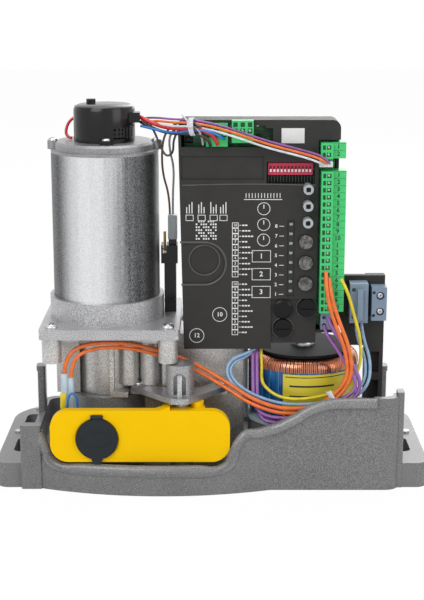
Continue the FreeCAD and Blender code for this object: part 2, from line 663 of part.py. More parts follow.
def build_output_shaft():
    r = S.shaft_radius
    front = S.motor_y - S.wheel_half - 0.7
    end = S.pinion_start + S.pinion_width
    profile = [(S.pin_radius + S.running, front), (r - 1, front), (r - 1, S.motor_y - S.wheel_half),
               (r + 3, S.motor_y - S.wheel_half), (r + 3, S.motor_y + S.wheel_half),
               (r, S.motor_y + S.wheel_half), (r, end), (0, end), (0, -8), (S.pin_radius + S.running, -8)]
    return revolved(profile, S.output_x, 0, "Y", S.output_height)


node(shaped("shaft_solid", build_output_shaft()), "output_shaft")

pinion = gear_solid(S.pinion_module, int(S.pinion_teeth), S.pinion_width, S.pinion_start, 0.0)
pinion = pinion.cut(cylinder(S.shaft_radius, 200, S.output_x, 0, S.output_height, (0, 1, 0)))
node(shaped("pinion_solid", pinion), "drive_pinion")

end_y = S.pinion_start + S.pinion_width
washer = cylinder(13, 2.5, S.output_x, end_y, S.output_height, (0, 1, 0))
head = Part.Face(points_wire([(S.output_x + 7 * math.cos(math.radians(60 * k)), end_y + 2.5,
                               S.output_height + 7 * math.sin(math.radians(60 * k))) for k in range(6)]))
node(shaped("pinion_end", washer.fuse(head.extrude(Vector(0, 5, 0)))), "pinion_fixings")


def ring_y(outer, inner, y0, y1):
    a = cylinder(outer, y1 - y0, S.output_x, y0, S.output_height, (0, 1, 0))
    return a.cut(cylinder(inner, y1 - y0 + 2, S.output_x, y0 - 1, S.output_height, (0, 1, 0)))


def ring_z(outer, inner, z0, z1):
    a = cylinder(outer, z1 - z0, S.motor_x, S.motor_y, z0)
    return a.cut(cylinder(inner, z1 - z0 + 2, S.motor_x, S.motor_y, z0 - 1))


run = S.running
front_bearing = -4
rear_bearing = S.nose_back - 6 - S.bearing_width
bearings = [
    ring_y(S.bearing_outer, S.shaft_radius + run, front_bearing, front_bearing + S.bearing_width),
    ring_y(S.bearing_outer, S.shaft_radius + run, rear_bearing, rear_bearing + S.bearing_width),
    ring_z(13, S.rotor_shaft_radius + run, worm_seat, worm_seat + 9),
    ring_z(worm_bore, S.rotor_shaft_radius + run, 101, 110),
    ring_z(S.rotor_shaft_radius + 5, S.rotor_shaft_radius + run, S.shell_top + 1, S.cap_top),
]
node(shaped("bearing_set", Part.Compound(bearings)), "ball_bearings")
node(shaped("seal_ring", ring_y(S.bearing_outer, S.shaft_radius + run, S.nose_back - 6, S.nose_back - 0.5)),
     "shaft_seal")


def build_gearbox_cover():
    start = S.motor_y + S.wheel_half + 1
    spigot = S.motor_y + worm_bore
    r = chamber_radius - S.running
    profile = [(S.shaft_radius + 1.5, start), (S.nose_radius, start), (S.nose_radius, spigot), (r, spigot),
               (r, S.gearbox_back), (S.cover_flange, S.gearbox_back),
               (S.cover_flange, S.gearbox_back + S.cover_plate), (S.nose_radius + 4, S.gearbox_back + S.cover_plate),
               (S.nose_radius, S.gearbox_back + 16), (S.nose_radius, S.nose_back), (S.bearing_outer, S.nose_back),
               (S.bearing_outer, rear_bearing), (S.shaft_radius + 4, rear_bearing - 1),
               (S.shaft_radius + 4, front_bearing + S.bearing_width + 1),
               (S.bearing_outer, front_bearing + S.bearing_width), (S.bearing_outer, front_bearing),
               (S.shaft_radius + 1.5, front_bearing)]
    cover = revolved(profile, S.output_x, 0, "Y", S.output_height)
    ribs = []
    for k in range(6):
        rib = block(S.output_x - 2, S.output_x + 2, S.gearbox_back + 2, S.gearbox_back + 28,
                    S.output_height + S.nose_radius - 3, S.output_height + S.nose_radius + 8)
        wedge = prism([(S.output_x - 5, S.gearbox_back + 6, S.output_height + S.nose_radius + 8.1),
                       (S.output_x - 5, S.gearbox_back + 29, S.output_height + S.nose_radius + 8.1),
                       (S.output_x - 5, S.gearbox_back + 29, S.output_height + S.nose_radius - 0.5)], (10, 0, 0))
        rib = rib.cut(wedge)
        rib.rotate(Vector(S.output_x, 0, S.output_height), Vector(0, 1, 0), 60 * k + 30)
        ribs.append(rib)
    return cover.multiFuse(ribs).removeSplitter()


node(shaped("cover_solid", build_gearbox_cover()), "gearbox_cover")


def build_gearbox():
    x, y = S.motor_x, S.motor_y
    ox, oz = S.output_x, S.output_height
    front = y - S.wheel_half - 1 - S.gearbox_wall
    left = ox - chamber_radius - S.gearbox_wall
    main = rounded_plan(left, S.gearbox_right, front, S.gearbox_back, (2, 5, 3, 2), S.floor_top,
                        S.gearbox_top - S.floor_top)
    corner = prism([(S.gearbox_right + 1, front - 1, S.floor_top - 1),
                    (S.gearbox_right + 1, front - 1, S.floor_top + 25),
                    (S.gearbox_right - 24, front - 1, S.floor_top - 1)], (0, 60, 0))
    pad_edge = S.torus_x - S.torus_radius - S.pad_rim
    pad_room = block(pad_edge - S.gap, S.gearbox_right + 5, front - 1, S.gearbox_back + 5, S.floor_top - 1,
                     S.torus_bottom + S.gap)
    main = main.cut(corner).cut(pad_room)
    barrel = cylinder(S.barrel_radius, S.flange_bottom - 10, x, y, 10)
    top = rounded_plan(x - 40, S.flange_x + 44, y - 32, y + 30, (6, 6, 6, 6), S.gearbox_top - 2,
                       S.flange_bottom - S.gearbox_top + 2)
    parts = [barrel, top]
    pitch = S.flange_hole_pitch / 2
    for sx in (-1, 1):
        for sy in (-1, 1):
            px, py = S.flange_x + sx * pitch, y + sy * pitch
            parts.append(cylinder(S.lug_radius, S.flange_bottom - S.lug_bottom, px, py, S.lug_bottom))
            low = S.flange_bottom - S.arm_thick if sy < 0 else S.gearbox_top + 1
            arm = block(min(px, px - sx * 12), max(px, px - sx * 12), min(py, py - sy * 14), max(py, py - sy * 14),
                        low, S.flange_bottom)
            parts.append(arm)
    # columns and ribs on the front of the worm housing
    parts.append(block(x - 37, x - 20, y - 16, y + 16, S.cup_top + 0.5, S.flange_bottom - 2))
    wing_top = S.wing_bottom + S.wing_thick
    for px in (x + 16.5, x + 32):
        parts.append(cylinder(7.6, S.flange_bottom - 1 - wing_top - S.gap, px, y - 18, wing_top + S.gap))
    parts.append(block(x + 3, x + 6, y - 30, y, S.cup_top + 2, S.flange_bottom - 1))
    parts.append(block(x + 3, x + 16, y - 30, y - 10, S.cup_top + 0.5, S.cup_top + 4.5))
    parts.append(block(x + 41, x + 45, y - 25, y - 8, wing_top + S.gap, S.flange_bottom - 1))
    # ring steps round the output's front bush, above the lever's path
    for radius, deep in ((28, 1.4), (23, 2.8), (17, 4.2)):
        step = cylinder(radius, deep + 2, ox, front - deep, oz, (0, 1, 0))
        parts.append(step.cut(block(-200, 200, -200, 200, 0, S.handle_top + 1)))
    # ledges that carry the release bracket
    for px in (ox - 32, ox + 28.5):
        ledge = rounded_plan(px - 7, px + 7, front - 10.7, front + 2, (3.5, 3.5, 0.5, 0.5), S.handle_top + 1,
                             S.wing_bottom - S.handle_top - 1)
        parts.append(ledge)
    whole = main.multiFuse(parts)
    cuts = [
        cylinder(chamber_radius, S.gearbox_back + 1 - (y - S.wheel_half - 1), ox, y - S.wheel_half - 1, oz,
                 (0, 1, 0)),
        cylinder(worm_bore, S.flange_bottom, x, y, worm_seat + 9),
        cylinder(13, 9.01, x, y, worm_seat),
        cylinder(S.pin_radius + S.running, 40, ox, front - 20, oz, (0, 1, 0)),
        cylinder(S.cover_flange + S.gap, S.cover_plate + S.gap, ox, S.gearbox_back, oz, (0, 1, 0)),
    ]
    for sx in (-1, 1):
        for sy in (-1, 1):
            cuts.append(cylinder(2.05, 30, S.flange_x + sx * pitch, y + sy * pitch, S.flange_bottom - 12))
    for px in (ox - 32, ox + 28.5):
        cuts.append(cylinder(1.55, 20, px, front - 7, S.handle_top))
        cuts.append(cylinder(3.4 + S.gap, 4, px, front - 7, wing_top))
    return whole.cut(cuts[0].multiFuse(cuts[1:])).removeSplitter()


node(shaped("gearbox_solid", build_gearbox()), "gearbox_housing")

# The release: bracket with its pivot, lever, lock and pin.
bracket_front = S.motor_y - S.wheel_half - 1 - S.gearbox_wall


def build_bracket():
    ox = S.output_x
    z0, z1 = S.wing_bottom, S.wing_bottom + S.wing_thick
    tip_y = bracket_front - 5
    plan = [(ox - 29, tip_y + 3, z0), (ox - 38, tip_y - 1, z0), (ox - 36, tip_y - 9, z0), (ox - 7, -79, z0),
            (ox + 5, -79, z0), (ox + 32, tip_y - 9, z0), (ox + 34, tip_y - 1, z0), (ox + 25, tip_y + 3, z0),
            (ox + 14, -50, z0), (ox - 16, -50, z0)]
    wing = prism(plan, (0, 0, S.wing_thick))
    boss = cylinder(10, 23, ox - 1, -62, z1 - 1)
    back = block(ox - 11, ox + 9, -62, -50, z1 - 1, z1 + 20)
    hollow = block(ox - 5.5, ox + 3.5, -80, -64, z1 + 0.5, z1 + 12)
    arch = cylinder(4.5, 16, ox - 1, -80, z1 + 12, (0, 1, 0))
    rib = block(ox - 2.6, ox + 0.6, -76, -60, z1 - 1, z1 + 17)
    slope = prism([(ox - 10, -77, z1 + 18), (ox - 10, -77, z1 + 1), (ox - 10, -68, z1 + 18)], (20, 0, 0))
    pivot = cylinder(S.pivot_radius, z0 + 1 - S.pivot_foot, ox, S.hub_y, S.pivot_foot)
    posts = [block(px, px + 2.5, bracket_front - 14, bracket_front - 11, S.handle_top + 1, z1)
             for px in (ox - 29.3, ox + 24.4)]
    whole = wing.multiFuse([boss.cut(hollow).cut(arch), back, rib.cut(slope), pivot] + posts)
    for px in (ox - 32, ox + 28.5):
        whole = whole.cut(cylinder(2.05, 20, px, bracket_front - 7, z0 - 4))
    return whole.removeSplitter()


node(shaped("bracket_solid", build_bracket()), "release_bracket")


def cam_outline(z):
    """The hub's edge in plan: round, with a spiral rise on the side that turns to the pin."""
    r, lift = S.hub_radius, S.cam_lift
    centre = Vector(S.output_x, S.hub_y, z)

    def at(angle, radius):
        return centre + Vector(radius * math.cos(math.radians(angle)), radius * math.sin(math.radians(angle)), 0)

    spiral = Part.BSplineCurve()
    spiral.interpolate([at(a, r + lift * (90 - a) / 90.0) for a in range(90, -11, -10)])
    end = at(-10, r + lift * 100 / 90.0)
    edges = [spiral.toShape(), Part.makeLine(end, at(-40, r)),
             Part.Arc(at(-40, r), at(-155, r), at(90, r)).toShape()]
    return Part.Wire(edges)


def build_handle():
    x0, x1, z0, z1 = S.handle_left, S.handle_right, S.handle_bottom, S.handle_top
    front, r = S.handle_front, S.handle_round

    def skin(inset, y, depth):
        piece = rounded_plan(x0 + inset, x1 - inset, z0 + inset, z1 - inset, tuple([r - inset * 0.5] * 4), 0, depth)
        piece.rotate(Vector(), Vector(1, 0, 0), 90)
        piece.translate(Vector(0, y + depth, 0))
        return piece

    plate = skin(0, front, S.handle_lip).cut(skin(2.5, front + S.handle_skin, S.handle_lip))
    hub = Part.Face(cam_outline(S.hub_bottom)).extrude(Vector(0, 0, S.hub_top - S.hub_bottom))
    hub = hub.cut(block(x0, x1, front - 20, front + 0.5, z0, z1 + 5))
    lobe = cylinder(4.6, S.wing_bottom - S.gap - S.hub_bottom, S.output_x + 11.5, S.hub_y, S.hub_bottom)
    lobe = lobe.common(block(-60, 60, -100, 0, 0, S.wing_bottom - S.gap))
    web = block(S.output_x - 9, S.output_x + 9, front + 1, S.hub_y, S.hub_bottom, S.hub_top)
    gusset = prism([(S.output_x - 32, front + 1, z1 - 6), (S.output_x - 8, front + 1, z1 + 2.5),
                    (S.output_x - 8, front + 1, S.hub_bottom), (S.output_x - 32, front + 1, S.hub_bottom)],
                   (0, 10, 0))
    seat = cylinder(S.lock_recess, S.handle_lip - 1, S.lock_x, front + 1, S.lock_z, (0, 1, 0))
    pad = cylinder(S.press_pad, S.handle_lip - 1, S.switch_x, front + 1, S.switch_rod_z, (0, 1, 0))
    whole = plate.multiFuse([hub, lobe, web, gusset, seat, pad])
    cuts = [
        cylinder(S.pivot_radius + S.running, 80, S.output_x, S.hub_y, z0 - 1),
        cylinder(S.lock_radius + S.running, 40, S.lock_x, front - 10, S.lock_z, (0, 1, 0)),
        cylinder(S.lock_cover_radius + 0.6, 3, S.lock_x, front - 2, S.lock_z, (0, 1, 0)),
        block(S.lock_x - 3.6, S.lock_x + 3.6, front - 1, front + 1, S.lock_z, z1 - 2.8),
        cylinder(1.4 + S.running, 9, S.lock_x - 4.5, front - 0.6, z1 - 4.6, (1, 0, 0)),
    ]
    return whole.cut(cuts[0].multiFuse(cuts[1:])).removeSplitter()


node(shaped("handle_solid", build_handle()), "release_handle")

lock = cylinder(S.lock_radius, 14.5, S.lock_x, S.handle_front + 1.6, S.lock_z, (0, 1, 0))
lock = lock.cut(block(S.lock_x - 1, S.lock_x + 1, S.handle_front, S.handle_front + 9, S.lock_z - 4, S.lock_z + 4))
tongue_y = S.handle_front + S.tongue_setback
tongue = block(S.lock_x - 4, S.lock_x + 15, tongue_y, tongue_y + 2.5, S.lock_z - 4, S.lock_z + 4)
node(shaped("lock_solid", lock.fuse(tongue)), "lock_cylinder")


def build_lock_cover():
    front = S.handle_front
    disc = cylinder(S.lock_cover_radius, 3, S.lock_x, front - 2.2, S.lock_z, (0, 1, 0))
    strap = block(S.lock_x - 3.2, S.lock_x + 3.2, front - 1.8, front + 0.6, S.lock_z + 12, S.handle_top - 4.2)
    pin = cylinder(1.4, 8.6, S.lock_x - 4.3, front - 0.6, S.handle_top - 4.6, (1, 0, 0))
    tab = rounded_plan(S.lock_x - 4, S.lock_x + 4, -18, -10, (3.5, 3.5, 0.2, 0.2), 0, 2)
    tab.rotate(Vector(), Vector(1, 0, 0), 90)
    tab.translate(Vector(0, front - 0.3, S.lock_z))
    return disc.multiFuse([strap, pin, tab]).removeSplitter()


node(shaped("lock_cover_solid", build_lock_cover()), "lock_cover")

pin_front = S.hub_y + S.hub_radius + S.gap
pin_length = -12 - pin_front
pin = cylinder(S.pin_radius, pin_length, S.output_x, pin_front, S.output_height, (0, 1, 0))
node(shaped("pin_solid", pin), "release_pin")

switch = box("switch_block", "switch_x - switch_half", "switch_x + switch_half", "switch_front",
             "switch_front + switch_depth", "switch_foot", "switch_foot + switch_height")
plunger_hole = rod("switch_bore", "switch_rod + 0.1", "5", "switch_x", "switch_front - 0.7", "switch_rod_z", "Y")
node(cut("switch_solid", switch, plunger_hole), "release_switch")
node(rod("plunger_rod", "switch_rod", "switch_front + 0.1 - handle_front - handle_lip - 0.4", "switch_x",
         "handle_front + handle_lip + 0.4", "switch_rod_z", "Y"), "switch_plunger")

# Control board: tray, circuit board, cover, controls and terminals.
def case_outline(z0, z1, right):
    """The case's front outline between two heights, with its leaning left side."""
    lean = (S.case_left_top - S.case_left_foot) / (S.case_top - S.case_foot)
    low = S.case_left_foot + lean * (z0 - S.case_foot)
    return [(low, z0), (right, z0), (right, z1), (S.case_left_top, z1)]


def slab(outline, y0, y1):
    """An outline in the front plane, made solid between two depths."""
    face = Part.Face(points_wire([(x, y0, z) for x, z in outline]))
    return face.extrude(Vector(0, y1 - y0, 0))


def build_tray():
    outline = case_outline(S.tray_foot, S.case_top, S.case_right)
    front = S.case_front + S.case_skin
    outer = slab(outline, front, S.case_back)
    inner = slab([(outline[0][0] + S.case_wall, outline[0][1] + S.case_wall),
                  (outline[1][0] - S.case_wall, outline[1][1] + S.case_wall),
                  (outline[2][0] - S.case_wall, outline[2][1] - S.case_wall),
                  (outline[3][0] + S.case_wall, outline[3][1] - S.case_wall)], front - 1, S.case_back - S.case_wall)
    tray = outer.cut(inner)
    edges = [e for e in tray.Edges if abs(direction(e).y) > 0.99 and e.BoundBox.ZMin > S.case_top - 1
             and (e.BoundBox.XMin > S.case_right - 1 or e.BoundBox.XMax < S.case_left_top + 1)]
    tray = tray.makeFillet(6, edges)
    opening = block(S.panel_right + 1, S.case_right + 5, front - 1, S.board_front + S.gap, S.tray_foot + 14,
                    S.strip_two + 13)
    foot = block(-14, 24, S.case_back - 12, S.case_back - 2, S.gearbox_top, S.tray_foot + 0.5)
    posts = []
    for px, pz in ((-12, 120), (66, 120), (-12, 250), (46, 240)):
        posts.append(cylinder(3, S.case_back - S.case_wall - (S.board_front + S.board_thick) + 0.5, px,
                              S.board_front + S.board_thick, pz, (0, 1, 0)))
    return tray.cut(opening).multiFuse([foot] + posts).removeSplitter()


node(shaped("tray_solid", build_tray()), "board_tray")

board_outline = [(-17.5, 112), (S.case_right - 3, 112), (S.case_right - 3, S.case_top - 4), (-20, S.case_top - 4)]
node(shaped("board_solid", slab(board_outline, S.board_front, S.board_front + S.board_thick)), "circuit_board")


def build_cover():
    top, foot, right, panel = S.case_top, S.case_foot, S.case_right, S.panel_right
    front, skin = S.case_front, S.case_skin
    band = S.strip_two + 13
    outline = [(S.case_left_foot, foot), (43, foot), (43, foot + 4.2), (panel, foot + 4.2), (panel, band),
               (right, band), (right, top), (S.case_left_top, top)]
    cover = slab(outline, front, front + skin)
    rounded = [e for e in cover.Edges if abs(direction(e).y) > 0.99 and e.BoundBox.ZMin > top - 1]
    cover = cover.makeFillet(6, rounded)
    cover = cover.fuse(block(S.case_left_foot, panel, front, front + 7, foot, foot + 2))
    trims = [block(43, panel + 1, front - 1, front + 10, foot - 1, foot + 4.2)]
    cuts = [
        block(-21.8, 38, front - 1, front + 10, 244.2, S.window_top),
        block(36, 43, front - 1, front + 10, 245, 257.6),
        block(-22, 37, front - 1, front + 1.2, 221, 237.8),
        block(S.dip_left - 1.2, S.dip_left + S.dip_levers * S.dip_pitch + 2.6, front - 1, front + 10,
              S.dip_bottom - 6, S.dip_bottom + S.dip_height + 1),
        block(53.9, 59.4, front - 1, front + 1, 136.2, 192),
        block(-25, -5.5, front - 1, front + 1, 145.1, 175.3),
        cylinder(15.1, 2, -5.5, front - 1, 160.2, (0, 1, 0)),
        cylinder(10.6, 3, -5.5, front - 1, 162.5, (0, 1, 0)),
    ]
    for k in range(3):
        cuts.append(cylinder(S.trimmer_radius + 0.4, 12, S.trimmer_x, front - 1, S.trimmer_top - k * S.trimmer_pitch,
                             (0, 1, 0)))
        cuts.append(cylinder(S.button_radius + 0.3, 12, S.button_x, front - 1, S.button_top - k * S.button_pitch,
                             (0, 1, 0)))
    for k in range(8):
        z = 190 - k * 7
        cuts.append(block(55.2, 58.1, front - 1, front + 10, z - 2.2, z))
    # the step that carries the fuses
    cuts.append(block(42.7, panel + 1, front - 1, front + 1.6, foot, 134))
    for px, pz in ((S.fuse_right_x, S.fuse_right_z), (S.fuse_left_x, S.fuse_left_z)):
        cuts.append(cylinder(S.fuse_radius + 0.1, 20, px, front - 1, pz, (0, 1, 0)))
    cover = cover.cut(cuts[0].multiFuse(cuts[1:] + trims))
    plug = cylinder(7, 2.6, S.fuse_left_x, front - 0.6, 126.6, (0, 1, 0))
    return cover.fuse(plug).removeSplitter()


node(shaped("case_cover", build_cover()), "board_cover")

# Twelve small levers in their switch, three trimmers, three buttons and two fuse caps.
dip_front = S.case_front + 3
dip_width = S.dip_levers * S.dip_pitch + 1.2
dip = block(S.dip_left, S.dip_left + dip_width, dip_front, S.board_front, S.dip_bottom, S.dip_bottom + S.dip_height)
slots = []
for k in range(int(S.dip_levers)):
    x = S.dip_left + 0.6 + S.dip_pitch * (k + 0.5)
    slots.append(block(x - 0.75, x + 0.75, dip_front - 1, dip_front + 2.2, S.dip_bottom + 2.2, S.dip_bottom + 6.4))
node(shaped("dip_case", dip.cut(slots[0].multiFuse(slots[1:]))), "dip_switch")
for k in range(int(S.dip_levers)):
    x = "dip_left + 0.6 + dip_pitch * %s" % (k + 0.5)
    lever = box("lever_%d" % (k + 1), x + " - 0.7", x + " + 0.7", "case_front + 1.8", "case_front + 5.2",
                "dip_bottom + 2.25", "dip_bottom + 4.15")
    node(lever, "dip_lever_%02d" % (k + 1))

for k in range(3):
    z = "trimmer_top - trimmer_pitch * %d" % k
    stem = rod("trimmer_stem_%d" % k, "trimmer_radius", "18.9", "trimmer_x", "case_front - 8", z, "Y")
    slot = box("trimmer_slot_%d" % k, "trimmer_x - 1.6", "trimmer_x + 1.6", "case_front - 9", "case_front - 5",
               z + " - 1.6", z + " + 1.6")
    node(cut("trimmer_solid_%d" % k, stem, slot), "trimmer_%d" % (k + 1))

for k in range(3):
    z = "button_top - button_pitch * %d" % k
    head_part = rod("button_head_%d" % k, "button_radius", "6.4", "button_x", "case_front - 3", z, "Y")
    stem = rod("button_stem_%d" % k, "2", "7", "button_x", "case_front + 3", z, "Y")
    node(fuse("button_solid_%d" % k, head_part, stem), "push_button_%d" % (k + 1))

for k, (px, pz) in enumerate((("fuse_right_x", "fuse_right_z"), ("fuse_left_x", "fuse_left_z")), start=1):
    head_disc = rod("fuse_disc_%d" % k, "fuse_radius", "4.2", px, "case_front - 1.6", pz, "Y")
    core = rod("fuse_core_%d" % k, "1.6", "board_front - 0.3 - case_front", px, "case_front", pz, "Y")
    cap = fuse("fuse_head_%d" % k, head_disc, core)
    slot = box("fuse_slot_%d" % k, px + " - 5", px + " + 5", "case_front - 2", "case_front - 0.6", pz + " - 0.7",
               pz + " + 0.7")
    node(cut("fuse_solid_%d" % k, cap, slot), "fuse_cap_%d" % k)


def terminal_strip(poles, z0, x0, front):
    """An upright strip of screw terminals, one square mouth and one screw well in each pole."""
    height = poles * S.pole_pitch + 1.2
    strip = block(x0, x0 + 8.5, front, S.board_front, z0, z0 + height)
    strip = strip.fuse(block(x0, x0 + S.terminal_depth + 1, front + 5, S.board_front, z0, z0 + height))
    wells = []
    for k in range(poles):
        z = z0 + 0.6 + S.pole_pitch * (k + 0.5)
        wells.append(block(x0 + 4, x0 + 7, front - 1, front + 3, z - 1.5, z + 1.5))
    return strip.cut(wells[0].multiFuse(wells[1:]))


def terminal_plug(x0, z0, z1):
    """A three-pole plug that stands over the case's top edge."""
    width = 3 * S.pole_pitch
    front = S.case_front - 5
    plug = block(x0, x0 + width, front, S.case_front - S.gap, z0 + 6, z1)
    plug = plug.fuse(block(x0, x0 + width, front, S.board_front, z0 + 6, S.window_top - S.gap))
    plug = plug.fuse(block(x0, x0 + width, front + 3, S.board_front, z0, z0 + 7))
    wells = []
    for k in range(3):
        x = x0 + S.pole_pitch * (k + 0.5)
        wells.append(block(x - 1.6, x + 1.6, front - 1, front + 3, z0 + 7, z0 + 10.5))
    return plug.cut(wells[0].multiFuse(wells[1:]))


strips = [
    terminal_strip(10, S.strip_ten_upper, S.terminal_left, S.terminal_front),
    terminal_strip(10, S.strip_ten_lower, S.terminal_left, S.terminal_front + 0.5),
    terminal_strip(2, S.strip_two, S.terminal_left - 0.6, S.terminal_front),
    terminal_plug(-4.2, 244.8, 261.4),
    terminal_plug(13.9, 247.4, 263.6),
]
node(shaped("strip_set", Part.Compound(strips)), "terminal_strips")


def build_support():
    """The upright plate, arm and column that carry the power terminals beside the board."""
    wall = S.pan_half_width - S.pan_wall
    right = wall - S.support_gap
    left = S.torus_x + S.torus_radius + S.support_room
    front = S.case_back - S.support_depth
    back = front + S.support_thick
    foot_z, top = S.support_foot, S.support_top
    plate_left = S.case_right + S.support_reach
    plate = block(plate_left, right - 1, front, back, foot_z, top)
    arm = block(S.case_right, plate_left + 1, front, back, foot_z + 15, top - 2)
    column = block(left, right, front, S.case_back, S.floor_top, top)
    web = prism([(right - 1, front + 1, S.floor_top), (wall, front + 1, S.floor_top),
                 (wall, front + 1, S.floor_top + 31), (right - 1, front + 1, S.floor_top + 45)],
                (0, S.support_thick, 0))
    foot = block(left - 5, right + 2, front - 5, S.case_back + 9, S.floor_top, S.floor_top + 4)
    cuts = []
    for k in range(3):
        z = S.floor_top + 23 + S.window_pitch * k
        cuts.append(block(left + 3, right - 3, front - 1, back, z, z + S.support_window))
    return plate.multiFuse([arm, column, web, foot]).cut(cuts[0].multiFuse(cuts[1:])).removeSplitter()


support = build_support().cut(Part.makeCone(S.pedestal_radius + 7.3, S.pedestal_radius + 0.3, S.pedestal_top - 1,
                                            Vector(S.torus_x, S.torus_y, 1)))
node(shaped("support_solid", support), "terminal_support")


def screw_terminal(x0, x1, z0, z1, y0, y1, screws):
    piece = block(x0, x1, y0, y1, z0, z1)
    wells = [cylinder(r, 4, px, y0 - 1, pz, (0, 1, 0)) for px, pz, r in screws]
    return piece.cut(wells[0].multiFuse(wells[1:]))


def build_power():
    """The fuse and mains terminals, placed from the case and the support, and the small block on the board."""
    side, top = S.case_right, S.support_top
    back = S.case_back - S.support_depth
    fuse_block = screw_terminal(side + 9.4, side + 22.6, top - 32.8, top - 3.6, back - 13, back,
                                [(side + 12.1, top - 28, 1.5), (side + 12.1, top - 8, 1.5)])
    fuse_block = fuse_block.fuse(block(side + 14.6, side + 18.6, back - 17, back - 12, top - 30, top - 7))
    mains = screw_terminal(side + 25.4, side + 36.3, top - 31.3, top - 6.5, back - 12, back,
                           [(side + 31.6, top - 12.8, 3), (side + 31.6, top - 24.6, 3),
                            (side + 26.9, top - 10.4, 1.2), (side + 26.9, top - 27.5, 1.2)])
    left, foot = S.panel_right + 3.3, S.tray_foot + 3.6
    small = screw_terminal(left, left + 7.3, foot, foot + 12.4, S.board_front - 13, S.board_front,
                           [(left + 2.5, foot + 3.4, 1.4), (left + 2.5, foot + 9, 1.4)])
    return Part.Compound([fuse_block, mains, small])


node(shaped("power_set", build_power()), "power_terminals")

# Transformer on its pads.
tx, ty = "torus_x", "torus_y"
ring_body = new_body("winding_body")
plan = sketch(ring_body, "winding_plan", "XY_Plane", "torus_bottom")
draw_circle(plan, tx, ty, "torus_radius", (68, -10, 41))
draw_circle(plan, tx, ty, "torus_hole", (68, -10, 15))
winding = extrude(ring_body, "Pad", "winding", plan, "torus_top - torus_bottom")
rims = ["Edge%d" % i for i, e in enumerate(winding.Shape.Edges, start=1)
        if e.Curve.TypeId == "Part::GeomCircle" and e.Curve.Radius > S.torus_hole + 1]
bevel = ring_body.newObject("PartDesign::Chamfer", "winding_bevel")
bevel.Base = (winding, rims)
bevel.setExpression("Size", expr("torus_bevel"))
node(ring_body, "transformer")
node(cut("base_pad_ring", rod("base_pad_disc", "torus_radius + pad_rim", "pad_thick", tx, ty, "pedestal_top"),
         rod("base_pad_bore", "4.05", "9", tx, ty, "pedestal_top - 2")), "transformer_base_pad")
top_pad = fuse("top_pad_disc", rod("top_pad_plate", "torus_radius - 6", "pad_thick", tx, ty, "torus_top"),
               rod("top_pad_core", "torus_hole - running", "12", tx, ty, "torus_top - 10"))
node(cut("top_pad_ring", top_pad, rod("top_pad_bore", "4.05", "40", tx, ty, "torus_top - 20")),
     "transformer_top_pad")

# Limit switch on its pillar beside the motor.
lx, ly, lz = S.limit_x, S.limit_y, S.limit_pivot_z
pillar = [
    block(lx - 0.3, lx + 8.4, ly - 6, ly + 6, S.flange_bottom + S.flange_thick, lz - 9.8),
    block(lx - 2.6, lx + 9.6, ly - 7, ly + 7, lz - 9.8, lz + 3.7),
    block(lx + 2.9, lx + 8.9, ly - 4, ly + 4, lz + 3.7, lz + 25),
]
limit = pillar[0].multiFuse(pillar[1:])
channel = block(lx - 1.3, lx + 1.3, ly - 8, ly + 8, lz - 2.4, lz + 4)
cross_hole = cylinder(0.7 + S.running, 4.6, lx - 2.3, ly, lz, (1, 0, 0))
node(shaped("limit_solid", limit.cut(channel).cut(cross_hole)), "limit_switch")
lever = cylinder(S.limit_lever, 14.5, lx, ly, lz - 1.5).fuse(cylinder(0.7, 4.2, lx - 2.1, ly, lz, (1, 0, 0)))
node(shaped("limit_lever_solid", lever), "limit_switch_lever")


# Machine screws: low coned heads with plain shanks.
def screw(x, y, z, radius, head_radius, length):
    """A screw whose low coned head sits on z and whose shank points down."""
    shank = cylinder(radius, length, x, y, z - length)
    head_part = Part.makeCone(head_radius, head_radius * 0.55, head_radius * 0.5, Vector(x, y, z))
    return shank.fuse(head_part)


fasteners = []
pitch = S.flange_hole_pitch / 2
plate_top = S.flange_bottom + S.flange_thick
for sx in (-1, 1):
    for sy in (-1, 1):
        fasteners.append(screw(S.flange_x + sx * pitch, S.motor_y + sy * pitch, plate_top, 2, 4.6, 16))
for sx in (-1, 1):
    fasteners.append(screw(S.motor_x + sx * (S.cap_radius + 1), S.motor_y, S.cap_top, 1.95, 3.6, 5))
fasteners.append(screw(S.motor_x + 3, S.motor_y - S.encoder_radius - 3.8, S.cap_top + 3, 1.95, 3, 5.4))
for px in (S.output_x - 32, S.output_x + 28.5):
    fasteners.append(screw(px, bracket_front - 7, S.wing_bottom + S.wing_thick, 1.5, 3.4, 7))
bolt = cylinder(4, S.torus_top + 4 - S.floor_top, S.torus_x, S.torus_y, S.floor_top)
fasteners.append(bolt.fuse(cylinder(9, 2, S.torus_x, S.torus_y, S.torus_top + S.pad_thick)))
node(shaped("screw_set", Part.Compound(fasteners)), "machine_screws")


# Wiring: straight runs joined by arcs.
def tube(points, radius):
    """A tube of the given radius along a route."""
    path = arc_route([Vector(*p) for p in points])
    start = Vector(*points[1]) - Vector(*points[0])
    ring = Part.Wire([Part.Circle(Vector(*points[0]), start, radius).toShape()])
    return path.makePipeShell([ring], True, False)


